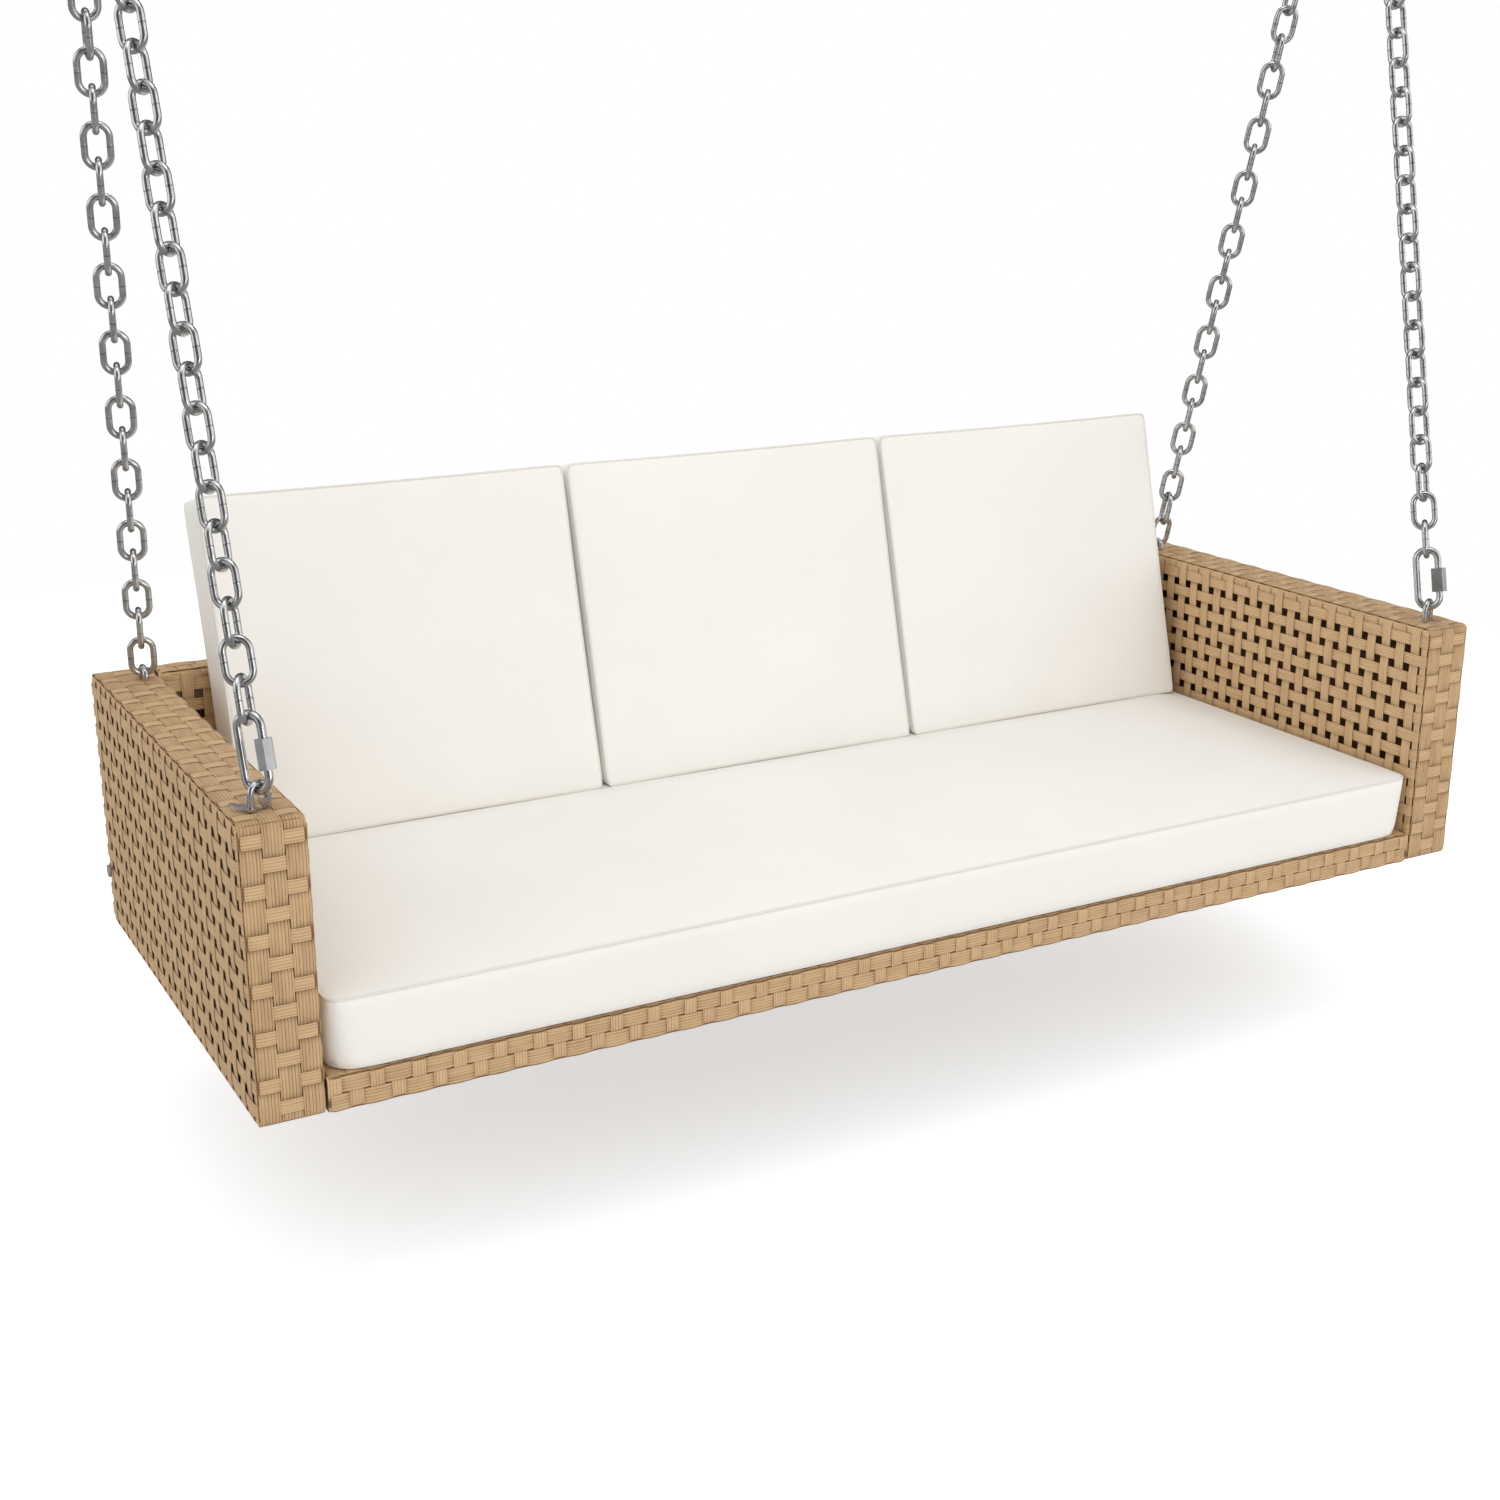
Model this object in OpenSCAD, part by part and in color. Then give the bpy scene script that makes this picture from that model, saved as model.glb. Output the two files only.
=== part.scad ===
// Porch swing seat: a woven three-seat bench between two box arms, hung on
// four chains from two ceiling hangers. Millimetres, +Z up.
//
// The origin is on the ceiling, midway between the two hangers. The bench is
// drawn in its own level frame first (X across, Y from the front edge back,
// Z up from the underside of the arms) and hung() then carries it under the
// hangers, leaning back by seat_tilt as its weight makes it hang.

/* [Bench] */
// Overall width across both arms
bench_w = 1920; // [1500:10:2100]
// Depth of the arms, front to back
bench_d = 740; // [680:10:800]
// Height of the arms
arm_h = 375; // [330:5:420]
// Thickness of one arm
arm_t = 86; // [80:1:100]
// Thickness of the low back
back_t = 50; // [44:1:60]
// Height of the seat platform under the cushion
seat_h = 47; // [42:1:60]
// Backward lean of the hanging bench, in degrees
seat_tilt = 3; // [0:0.1:4]

/* [Weave] */
// Thickness of a woven skin
weave_t = 5; // [4:0.5:6]
// Distance from one strand to the next
weave_pitch = 30; // [26:1:34]
// Side of the square gap between strands
weave_gap = 10; // [6:1:12]
// Least width of closed weave along every edge
weave_border = 30; // [24:1:40]
// Rounding of the woven corners
corner_r = 8; // [7:0.5:12]
// Depth of the woven strip under the front rail
apron_return = 50; // [46:1:80]

/* [Frame] */
// Height of the arm rails and depth of the arm posts
arm_rail = 25; // [20:1:32]
// Depth of the front seat rail
seat_rail_d = 40; // [30:1:50]
// Height of the top rail of the back
back_rail_h = 40; // [30:1:50]
// Width of a post in the back
back_post_w = 30; // [24:1:40]
// Width of a cross bar under the seat
cross_bar_w = 30; // [24:1:40]
// Number of cross bars under the seat
cross_bars = 4; // [3:1:6]
// Wall of every tube
tube_wall = 2; // [1.5:0.5:3]
// Thickness of the board inside each arm
liner_t = 4; // [3:0.5:6]
// Thickness of the plates that close the rail ends
end_plate = 8; // [6:1:10]
// Diameter of the bolts that join arms, seat and back
bolt_d = 8; // [6:1:10]
// Length of those bolts under the head
bolt_l = 26; // [20:1:34]

/* [Cushions] */
// Thickness of the seat cushion at its piped edge
seat_cushion_t = 94; // [80:1:110]
// Rise of the seat cushion's crown above its edge
seat_crown = 14; // [8:1:20]
// Width left free beside the row of three back cushions
back_row_play = 84; // [60:2:120]
// Height of a back cushion's front face along its lean
back_cushion_h = 488; // [420:2:540]
// Thickness of a back cushion at its piped edge
back_cushion_t = 86; // [70:1:96]
// Rise of a back cushion's crown on the front
back_crown = 13; // [6:1:20]
// Lean of the back cushions from upright, in degrees
back_lean = 14.5; // [10:0.5:18]
// Distance that the row of back cushions sits right of the middle
back_row_shift = 22; // [0:1:28]
// Gap between two back cushions
back_cushion_gap = 1; // [0.5:0.5:4]
// Gap between an end of the seat cushion and the arm beside it
cushion_side_gap = 4; // [1:1:10]
// Distance that a cushion's sides are drawn in between its corners
side_draw = 5; // [2:1:8]
// Plan radius of the cushion corners
cushion_corner = 26; // [16:1:40]

/* [Eyes] */
// Wire of the eyes on the arms
eye_wire = 8; // [7:0.5:9]
// Distance between the two legs of an eye
eye_span = 24; // [22:1:28]
// Height of the front eyes' arch centre line above the arm
front_eye_rise = 31; // [28:1:36]
// Height of the rear eyes' arch centre line above the arm
rear_eye_rise = 17; // [16:1:22]
// Distance of the front eyes behind the front edge
front_eye_y = 46; // [40:1:60]
// Distance of the rear eyes before the rear edge
rear_eye_back = 72; // [60:1:100]
// Distance that the rear eyes stand inward of the arm's middle
rear_eye_inset = 17; // [0:1:20]
// Turn of the front eyes about the upright, in degrees
front_eye_turn = 24; // [20:1:26]
// Turn of the rear eyes about the upright, in degrees
rear_eye_turn = 88; // [84:1:92]
// Length of the pointed leaf beside the left front eye
leaf_l = 26; // [20:1:30]
// Width of the pointed leaf before that eye
leaf_w = 19; // [14:1:22]
// Thickness of the pointed leaves
leaf_t = 3; // [2:0.5:4]
// Height of the corner staples above the underside of the arms
staple_z = 60; // [50:1:100]
// Wire of the corner staples
staple_wire = 9; // [7:0.5:10]
// Distance between the two legs of a corner staple
staple_span = 26; // [20:1:32]
// Distance that a corner staple stands out behind the arm
staple_reach = 16; // [12:1:20]
// Distance of the corner staples from the edge of the arm
staple_inset = 14; // [12:1:18]
// Length of the pointed foot above a corner staple
foot_l = 24; // [18:1:28]
// Width of that foot
foot_w = 18; // [14:1:20]

/* [Quick links] */
// Wire of a quick link
quick_wire = 10; // [9:0.5:11]
// Outer length of a quick link
quick_l = 98; // [94:1:110]
// Outer width of a quick link
quick_w = 42; // [40:1:48]
// Width of the six-sided sleeve nut across its flats
sleeve_flats = 19; // [17:1:22]
// Length of the sleeve nut
sleeve_l = 36; // [32:1:38]
// Length of the opening that the sleeve nut closes
quick_gap = 9.5; // [9.2:0.1:10]
// Length of sleeve nut that grips the wire on the short side of the opening
sleeve_grip = 3.5; // [3:0.1:4]
// Distance of the sleeve nut's middle below the quick link's
sleeve_drop = 3.3; // [2:0.1:4]

/* [Chains] */
// Wire of the chain
chain_wire = 8.5; // [7:0.5:9]
// Inner length of a link
link_inner = 43.8; // [40:0.2:48]
// Outer width of a link
link_w = 39; // [36:1:44]
// Links in a front chain
front_links = 30; // [26:1:32]
// Links in a rear chain
rear_links = 32; // [28:1:34]

/* [Ceiling hangers] */
// Distance between the two hangers
hanger_span = 1918; // [1890:2:1960]
// Wire of the top rings
ring_wire = 10; // [9:0.5:12]
// Outer diameter of the top rings
ring_d = 76; // [74:1:90]
// Length of a ceiling plate
plate_l = 110; // [96:2:140]
// Width of a ceiling plate
plate_w = 44; // [40:1:60]
// Thickness of a ceiling plate
plate_t = 5; // [4:0.5:8]
// Distance between the two screw holes of a ceiling plate
plate_hole_span = 76; // [70:1:96]
// Diameter of the screw holes
plate_hole_d = 9; // [6:0.5:10]
// Wire of the bow welded to a ceiling plate
bow_wire = 10; // [8:0.5:12]
// Distance between the legs of that bow
bow_span = 28; // [26:1:36]
// Distance of the bow's lowest point line below the plate
bow_drop = 26; // [24:1:34]

/* [Hidden] */
$fn = 48;
clear = 0.3;          // running and seating clearance of the loose hardware
bore_clear = 0.2;     // radial clearance of a bolt or leg in its hole
nut_clear = 0.1;      // radial clearance of a nut on its leg
soft_clear = 0.5;     // clearance of a cushion to what stands beside it

weave_tan = [0.80, 0.66, 0.47];
frame_brown = [0.42, 0.33, 0.24];
steel_grey = [0.62, 0.63, 0.64];
cushion_white = [0.95, 0.94, 0.91];

// arms and seat between them
arm_mid_x = bench_w / 2 - arm_t / 2;
inner_x = bench_w / 2 - arm_t;
rail_len = 2 * inner_x;
seat_core = seat_h - 2 * weave_t;
back_core = back_t - 2 * weave_t;
back_y = bench_d - back_t;
back_mid_y = bench_d - back_t / 2;
bolt_low_z = weave_t + arm_rail / 2;
bolt_high_z = arm_h - weave_t - arm_rail / 2;
rear_eye_y = bench_d - rear_eye_back;
back_cushion_w = (rail_len - back_row_play - 2 * back_cushion_gap) / 3;

// top of each eye's arch, on the right-hand arm
front_top = [arm_mid_x, front_eye_y, arm_h + front_eye_rise];
rear_top = [arm_mid_x - rear_eye_inset, rear_eye_y, arm_h + rear_eye_rise];
link_pitch = link_inner - clear;
link_r = (link_w - chain_wire) / 2;
quick_r = (quick_w - quick_wire) / 2;
quick_reach = quick_l - quick_wire;
eye_to_quick = (eye_wire + quick_wire) / 2 + clear;
eye_to_link = (eye_wire + chain_wire) / 2 + clear;
quick_to_link = (quick_wire + chain_wire) / 2 + clear;
ring_to_link = (ring_wire + chain_wire) / 2 + clear;
ring_r = (ring_d - ring_wire) / 2;
function chain_run(links) = links * link_pitch + clear + chain_wire;
front_reach = -eye_to_quick + quick_reach - quick_to_link + chain_run(front_links)
    - ring_to_link + ring_r;
rear_reach = -eye_to_link + chain_run(rear_links) - ring_to_link + ring_r;

// the rings hang where the front and the rear chain both come taut
hanger_x = hanger_span / 2;
function unit(v) = v / norm(v);
function flat_reach(reach, x) = sqrt(pow(reach, 2) - pow(hanger_x - x, 2));
function ring_over(front, rear) = let (
    front_flat = flat_reach(front_reach, front[0]),
    rear_flat = flat_reach(rear_reach, rear[0]),
    span = norm([rear[1] - front[1], rear[2] - front[2]]),
    slope = atan2(rear[2] - front[2], rear[1] - front[1]),
    along = (pow(front_flat, 2) - pow(rear_flat, 2) + pow(span, 2)) / (2 * span),
    across = sqrt(pow(front_flat, 2) - pow(along, 2)))
    [front[1] + along * cos(slope) - across * sin(slope),
     front[2] + along * sin(slope) + across * cos(slope)];

// where a chain bears on an eye's arch: off its top, towards the pull
function bow_hold(top, turn, goal) = let (
    centre = top - [0, 0, eye_span / 2],
    pull = unit(goal - centre),
    sideways = [cos(turn), sin(turn), 0],
    a = atan2(pull * sideways, pull[2]))
    centre + eye_span / 2 * (sin(a) * sideways + cos(a) * [0, 0, 1]);
rough_ring = concat(hanger_x, ring_over(front_top, rear_top));
rear_hold = bow_hold(rear_top, rear_eye_turn, rough_ring);
function front_hold(side) = bow_hold(front_top, side * front_eye_turn, rough_ring);
ring = concat(hanger_x, ring_over(front_hold(1), rear_hold));
ring_lean = atan2(hanger_x - (front_hold(1)[0] + rear_hold[0]) / 2, ring[2] - arm_h);

// the swing turns about the line through both ceiling bows
ring_to_bow = ring_r - (ring_wire + bow_wire) / 2 - 2 * clear;
pivot_y = ring[1] - ring_to_bow * sin(seat_tilt);
pivot_z = ring[2] + ring_to_bow * cos(seat_tilt);
pivot_drop = plate_t + bow_drop;
function mirrored(side, p) = [side * p[0], p[1], p[2]];

// turn of link k about its chain, in degrees: the first ones as listed, then by
// turns the two of a pair, and above steady_links twisting on towards the ring
steady_links = 18;
front_left_turns = [[52, -20, 52, -45], [40, -52], 37];
front_right_turns = [[40, -48, 22, -86], [0, -90], 75];
rear_left_turns = [[], [-12, 78], 87];
rear_right_turns = [[-10, 66, -30], [-41, 49], 116];
function link_turn(k, links, turns) = let (first = turns[0], pair = turns[1], twist = turns[2])
    k < len(first) ? first[k]
    : pair[k % 2] + twist * max(0, (k - steady_links) / (links - 1 - steady_links));

// ---------------------------------------------------------------- placing

module hung()
    translate([0, 0, -pivot_drop]) rotate([-seat_tilt, 0, 0])
        translate([0, -pivot_y, -pivot_z]) children();

// mirrors a right-hand piece to the left side when side is -1
module on_side(side)
    mirror([side < 0 ? 1 : 0, 0, 0]) children();

// stands a piece drawn along +Z on a line, turned about that line
module along_line(start, direction, turn) {
    lean = acos(direction[2]);
    heading = atan2(direction[1], direction[0]);
    translate(start) rotate([0, lean, heading]) rotate([0, 0, turn - heading]) children();
}

// ---------------------------------------------------------------- shapes

// rounded rectangle standing in the Y-Z plane of a side view
module side_outline(d, h, r) {
    translate([r, 0]) square([d - 2 * r, h]);
    translate([0, r]) square([d, h - 2 * r]);
    for (y = [r, d - r], z = [r, h - r])
        translate([y, z]) circle(r);
}

// extrudes a Y-Z outline along X between two places
module extrude_x(x0, x1)
    translate([x0, 0, 0]) rotate([90, 0, 90]) linear_extrude(x1 - x0) children();

// extrudes an X-Z outline along Y between two places
module extrude_y(y0, y1)
    translate([0, y1, 0]) rotate([90, 0, 0]) linear_extrude(y1 - y0) children();

// square gaps of an open weave, in as many full columns and rows as fit, and
// only in the rows that leave a border above hidden_h
module weave_gaps(w, h, hidden_h = 0) {
    columns = floor((w - 2 * weave_border - weave_gap) / weave_pitch) + 1;
    rows = floor((h - 2 * weave_border - weave_gap) / weave_pitch) + 1;
    for (k = [0:rows - 1]) {
        row_z = h / 2 + (k - (rows - 1) / 2) * weave_pitch;
        if (row_z - weave_gap / 2 >= hidden_h + weave_border)
            for (i = [0:columns - 1])
                translate([w / 2 + (i - (columns - 1) / 2) * weave_pitch, row_z])
                    square(weave_gap, center = true);
    }
}

// rectangular tube between two opposite corners, hollow along one axis
module tube_box(low, high, axis) {
    wall = [for (i = [0:2]) i == axis ? -1 : tube_wall];
    difference() {
        translate(low) cube(high - low);
        translate(low + wall) cube(high - low - 2 * wall);
    }
}

// round bar bent to a half circle in the X-Z plane, open downward
module half_ring(r, wire)
    rotate([90, 0, 0]) rotate_extrude(angle = 180) translate([r, 0]) circle(wire / 2);

// closed oval link in the X-Z plane, centred, standing along Z
module oval_link(length, width, wire) {
    r = (width - wire) / 2;
    straight = length - wire - 2 * r;
    for (turn = [0, 180])
        rotate([0, turn, 0]) translate([0, 0, straight / 2]) half_ring(r, wire);
    for (x = [-r, r])
        translate([x, 0, -straight / 2]) cylinder(h = straight, d = wire);
}

// flat leaf with a pointed tip along +X, one end rounded about the origin
module leaf(l, w, t)
    linear_extrude(t) {
        circle(d = w);
        polygon([[0, -w / 2], [l * 0.35, -w * 0.42], [l, 0], [l * 0.35, w * 0.42], [0, w / 2]]);
    }

// upright leaf in the X-Z plane with its point down at the origin and a hollow top edge
module spade(w, h, t)
    rotate([90, 0, 0]) linear_extrude(t)
        polygon([[-w / 2, h], [-w / 4, h * 0.87], [0, h * 0.83], [w / 4, h * 0.87], [w / 2, h],
                 [w * 0.36, h * 0.45], [w * 0.1, 0], [-w * 0.1, 0], [-w * 0.36, h * 0.45]]);

// ---------------------------------------------------------------- hangers

module ceiling_plate(side) color(steel_grey)
    translate([side * hanger_x, 0, -plate_t]) difference() {
        linear_extrude(plate_t) {
            square([plate_w, plate_l - plate_w], center = true);
            for (y = [-1, 1])
                translate([0, y * (plate_l - plate_w) / 2]) circle(d = plate_w);
        }
        for (y = [-1, 1])
            translate([0, y * plate_hole_span / 2, -1]) cylinder(h = plate_t + 2, d = plate_hole_d);
    }

module ceiling_bow(side) color(steel_grey)
    translate([side * hanger_x, 0, -pivot_drop]) {
        leg = bow_drop - bow_span / 2;
        translate([0, 0, bow_span / 2]) rotate([180, 0, 0]) half_ring(bow_span / 2, bow_wire);
        for (x = [-1, 1])
            translate([x * bow_span / 2, 0, bow_span / 2]) cylinder(h = leg, d = bow_wire);
    }

module top_ring(side) color(steel_grey)
    hung() translate(mirrored(side, ring)) rotate([0, 90 + side * ring_lean, 0])
        rotate_extrude() translate([ring_r, 0]) circle(ring_wire / 2);

// ---------------------------------------------------------------- chains

// a chain whose lowest wire centre is at start
module chain(start, direction, links, turns) color(steel_grey)
    hung() for (k = [0:links - 1])
        along_line(start + direction * (link_inner + chain_wire + 2 * k * link_pitch) / 2,
                   direction, link_turn(k, links, turns))
            oval_link(link_inner + 2 * chain_wire, link_w, chain_wire);

function front_line(side) = unit(mirrored(side, ring - front_hold(side)));
function rear_line(side) = unit(mirrored(side, ring - rear_hold));
function quick_start(side) = mirrored(side, front_hold(side)) - eye_to_quick * front_line(side);

module front_chain(side, turns)
    chain(quick_start(side) + (quick_reach - quick_to_link) * front_line(side),
          front_line(side), front_links, turns);

module rear_chain(side, turns)
    chain(mirrored(side, rear_hold) - eye_to_link * rear_line(side),
          rear_line(side), rear_links, turns);

quick_turn = -50;

// places a piece at the middle of a quick link, standing along it
module at_quick_link(side)
    along_line(quick_start(side) + front_line(side) * quick_reach / 2,
               front_line(side), quick_turn) children();

sleeve_low = -sleeve_drop - sleeve_l / 2;
gap_low = sleeve_low + sleeve_grip;

module quick_link(side) color(steel_grey)
    hung() at_quick_link(side) difference() {
        oval_link(quick_l, quick_w, quick_wire);
        translate([quick_r - quick_wire, -quick_wire, gap_low])
            cube([2 * quick_wire, 2 * quick_wire, quick_gap]);
    }

module quick_link_sleeve(side) color(steel_grey)
    hung() at_quick_link(side) translate([quick_r, 0, sleeve_low]) difference() {
        cylinder(h = sleeve_l, d = sleeve_flats / cos(30), $fn = 6);
        translate([0, 0, -1]) cylinder(h = sleeve_l + 2, d = quick_wire + 2 * clear);
    }

// ---------------------------------------------------------------- eyes

eye_leg_low = arm_h - weave_t - arm_rail - 12;

// wire bow with two legs down through the arm's top rail
module eye_bow(top, turn) translate([top[0], top[1], 0]) rotate([0, 0, turn]) {
    spring = top[2] - eye_span / 2;
    translate([0, 0, spring]) half_ring(eye_span / 2, eye_wire);
    for (x = [-1, 1])
        translate([x * eye_span / 2, 0, eye_leg_low])
            cylinder(h = spring - eye_leg_low, d = eye_wire);
}

// the upright leaf ends below the quick link's bow
spade_h = front_eye_rise - eye_wire / 2 - quick_wire - 5 * clear;
flat_leaf_w = leaf_w * 0.8;
flat_leaf_rise = 12;      // upward slope of the flat leaf, in degrees
flat_leaf_turn = 126;     // its heading from the eye's own, in degrees

// a front eye; the left one ends in a flat leaf outside and an upright leaf inside
module front_eye(side) color(steel_grey)
    hung() {
        on_side(side) eye_bow(front_top, side * front_eye_turn);
        if (side < 0)
            translate([-front_top[0], front_top[1], arm_h]) rotate([0, 0, front_eye_turn]) {
                translate([-eye_span / 2, 0, flat_leaf_w / 2 * sin(flat_leaf_rise) + clear])
                    rotate([0, -flat_leaf_rise, flat_leaf_turn]) leaf(leaf_l, flat_leaf_w, leaf_t);
                translate([(eye_span - leaf_w + eye_wire) / 2 - clear, -eye_wire / 2 + leaf_t, 0])
                    spade(leaf_w, spade_h, leaf_t);
            }
    }

module rear_eye(side) color(steel_grey)
    hung() on_side(side) eye_bow(rear_top, rear_eye_turn);

// centres of the four eye legs of an arm, drawn on the right-hand side
function legs_of(top, turn) = [for (s = [-1, 1])
    [top[0] + s * eye_span / 2 * cos(turn), top[1] + s * eye_span / 2 * sin(turn)]];
function eye_legs(side) = concat(legs_of(front_top, side * front_eye_turn),
                                 legs_of(rear_top, rear_eye_turn));

module eye_leg_holes(side)
    for (leg = eye_legs(side))
        translate([leg[0], leg[1], arm_h - weave_t - arm_rail - 1])
            cylinder(h = weave_t + arm_rail + 2, r = eye_wire / 2 + bore_clear);

nut_h = 0.8 * eye_wire;

module eye_nuts() color(steel_grey)
    hung() for (side = [-1, 1]) on_side(side) for (leg = eye_legs(side))
        translate([leg[0], leg[1], arm_h - weave_t - arm_rail - nut_h]) difference() {
            cylinder(h = nut_h, d = 1.625 * eye_wire / cos(30), $fn = 6);
            translate([0, 0, -1]) cylinder(h = nut_h + 2, r = eye_wire / 2 + nut_clear);
        }

// steel staple on the low rear corner of an arm, with a pointed foot outside
module corner_staples() color(steel_grey)
    hung() for (side = [-1, 1]) on_side(side) {
        translate([bench_w / 2, bench_d - staple_inset, staple_z + (staple_span + foot_w) / 2])
            rotate([90, 0, 90]) rotate([0, 0, 150]) leaf(foot_l, foot_w, leaf_t);
        translate([bench_w / 2 - staple_inset, bench_d, staple_z]) {
            for (z = [-1, 1]) translate([0, 0, z * staple_span / 2]) {
                rotate([-90, 0, 0]) cylinder(h = staple_reach, d = staple_wire);
                translate([0, staple_reach, 0]) sphere(d = staple_wire);
            }
            translate([0, staple_reach, -staple_span / 2])
                cylinder(h = staple_span, d = staple_wire);
        }
    }

// ---------------------------------------------------------------- arm frame

module arm_top_rail(side) color(frame_brown)
    hung() on_side(side) difference() {
        tube_box([inner_x + weave_t, weave_t, arm_h - weave_t - arm_rail],
                 [bench_w / 2 - weave_t, bench_d - weave_t, arm_h - weave_t], 1);
        eye_leg_holes(side);
        bolt_holes();
    }

module arm_bottom_rail(side) color(frame_brown)
    hung() on_side(side) difference() {
        tube_box([inner_x + weave_t, weave_t, weave_t],
                 [bench_w / 2 - weave_t, bench_d - weave_t, weave_t + arm_rail], 1);
        bolt_holes();
    }

// thin board in the middle of an arm, between its rails and posts
module arm_liner(side) color(frame_brown)
    hung() on_side(side)
        translate([arm_mid_x - liner_t / 2, weave_t + arm_rail, weave_t + arm_rail])
            cube([liner_t, bench_d - 2 * (weave_t + arm_rail), arm_h - 2 * (weave_t + arm_rail)]);

// upright tube between the two rails of an arm
module arm_post(side, y) color(frame_brown)
    hung() on_side(side)
        tube_box([inner_x + weave_t, y, weave_t + arm_rail],
                 [bench_w / 2 - weave_t, y + arm_rail, arm_h - weave_t - arm_rail], 2);

// ---------------------------------------------------------------- arm weave

module arm_ring_outline() difference() {
    side_outline(bench_d, arm_h, corner_r);
    translate([weave_t, weave_t]) square([bench_d - 2 * weave_t, arm_h - 2 * weave_t]);
}

// one side of an arm, an open weave from front to back
module arm_weave_side(side, x) color(weave_tan)
    hung() on_side(side) difference() {
        extrude_x(x, x + weave_t) difference() {
            side_outline(bench_d, arm_h, corner_r);
            weave_gaps(bench_d, arm_h);
        }
        bolt_holes();
    }

// the part of the closed edge band that lies in a Y-Z window
module arm_weave_band(side, low, size) color(weave_tan)
    hung() on_side(side) difference() {
        extrude_x(inner_x + weave_t, bench_w / 2 - weave_t) intersection() {
            arm_ring_outline();
            translate(low) square(size);
        }
        eye_leg_holes(side);
    }

module arm_weave_top(side)
    arm_weave_band(side, [corner_r, arm_h / 2], [bench_d - 2 * corner_r, arm_h / 2]);
module arm_weave_bottom(side)
    arm_weave_band(side, [corner_r, 0], [bench_d - 2 * corner_r, arm_h / 2]);
module arm_weave_front(side)
    arm_weave_band(side, [0, 0], [corner_r, arm_h]);
module arm_weave_rear(side)
    arm_weave_band(side, [bench_d - corner_r, 0], [corner_r, arm_h]);

// ---------------------------------------------------------------- bolts

// places of the bolts on the inner face of the right-hand arm
bolt_places = [[weave_t + seat_rail_d / 2, bolt_low_z], [back_mid_y, bolt_low_z],
               [back_mid_y, bolt_high_z]];
bolt_head_x = inner_x + weave_t + tube_wall;

module bolt_holes()
    for (place = bolt_places)
        translate([inner_x - end_plate - 1, place[0], place[1]]) rotate([0, 90, 0])
            cylinder(h = end_plate + weave_t + tube_wall + 2, r = bolt_d / 2 + bore_clear);

module frame_bolts() color(steel_grey)
    hung() for (side = [-1, 1]) on_side(side) for (place = bolt_places)
        translate([bolt_head_x, place[0], place[1]]) rotate([0, -90, 0]) {
            cylinder(h = bolt_l, d = bolt_d);
            translate([0, 0, -bolt_d]) difference() {
                cylinder(h = bolt_d, d = bolt_d * 1.625);
                translate([0, 0, -1]) cylinder(h = bolt_d / 2 + 1, d = bolt_d * 0.9, $fn = 6);
            }
        }

// ---------------------------------------------------------------- seat frame

// tube across the bench with closed ends that take the bolts
module cross_rail(y, depth, z, height) color(frame_brown)
    hung() difference() {
        union() {
            tube_box([-inner_x, y, z], [inner_x, y + depth, z + height], 0);
            for (x = [-inner_x, inner_x - end_plate])
                translate([x, y + tube_wall, z + tube_wall])
                    cube([end_plate, depth - 2 * tube_wall, height - 2 * tube_wall]);
        }
        for (side = [-1, 1]) on_side(side) bolt_holes();
    }

module seat_front_rail() cross_rail(weave_t, seat_rail_d, weave_t, seat_core);
module seat_rear_rail() cross_rail(back_y + weave_t, back_core, weave_t, seat_core);
module back_top_rail()
    cross_rail(back_y + weave_t, back_core, arm_h - weave_t - back_rail_h, back_rail_h);

module seat_cross_bars() color(frame_brown)
    hung() for (i = [0:cross_bars - 1]) {
        x = (i - (cross_bars - 1) / 2) * rail_len / cross_bars;
        tube_box([x - cross_bar_w / 2, weave_t + seat_rail_d, weave_t],
                 [x + cross_bar_w / 2, back_y + weave_t, weave_t + seat_core], 1);
    }

module back_posts() color(frame_brown)
    hung() for (i = [0:cross_bars - 1]) {
        x = (i - (cross_bars - 1) / 2) * rail_len / cross_bars;
        tube_box([x - back_post_w / 2, back_y + weave_t, weave_t + seat_core],
                 [x + back_post_w / 2, bench_d - weave_t, arm_h - weave_t - back_rail_h], 2);
    }

// ---------------------------------------------------------------- seat and back weave

// closed weave on top of the seat frame, under the cushion
module seat_deck_weave() color(weave_tan)
    hung() translate([-inner_x, 0, seat_h - weave_t]) cube([rail_len, back_y, weave_t]);

// closed weave down the front edge and back under the front rail
module seat_apron_weave() color(weave_tan)
    hung() extrude_x(-inner_x, inner_x) difference() {
        intersection() {
            side_outline(bench_d, seat_h + corner_r, corner_r);
            square([apron_return, seat_h - weave_t]);
        }
        translate([weave_t, weave_t]) square([apron_return, seat_h]);
    }

module back_weave_front() color(weave_tan)
    hung() extrude_y(back_y, back_y + weave_t) translate([-inner_x, 0]) difference() {
        translate([0, seat_h]) square([rail_len, arm_h - seat_h]);
        weave_gaps(rail_len, arm_h, seat_h);
    }

module back_weave_rear() color(weave_tan)
    hung() extrude_y(bench_d - weave_t, bench_d) translate([-inner_x, 0]) difference() {
        square([rail_len, arm_h]);
        weave_gaps(rail_len, arm_h);
    }

module back_weave_top() color(weave_tan)
    hung() translate([-inner_x, back_y + weave_t, arm_h - weave_t])
        cube([rail_len, back_core, weave_t]);

module back_weave_bottom() color(weave_tan)
    hung() translate([-inner_x, back_y + weave_t, 0]) cube([rail_len, back_core, weave_t]);

// ---------------------------------------------------------------- cushions

corner_steps = 4;     // arc steps round a cushion corner
side_steps = 6;       // steps along each side between corners
// shares of the way from the middle of a face out to its piped edge
face_shares = [0.3, 0.55, 0.75, 0.88, 0.96];
seam_draw = 2;        // distance that the walls swell out between the piped edges

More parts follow.
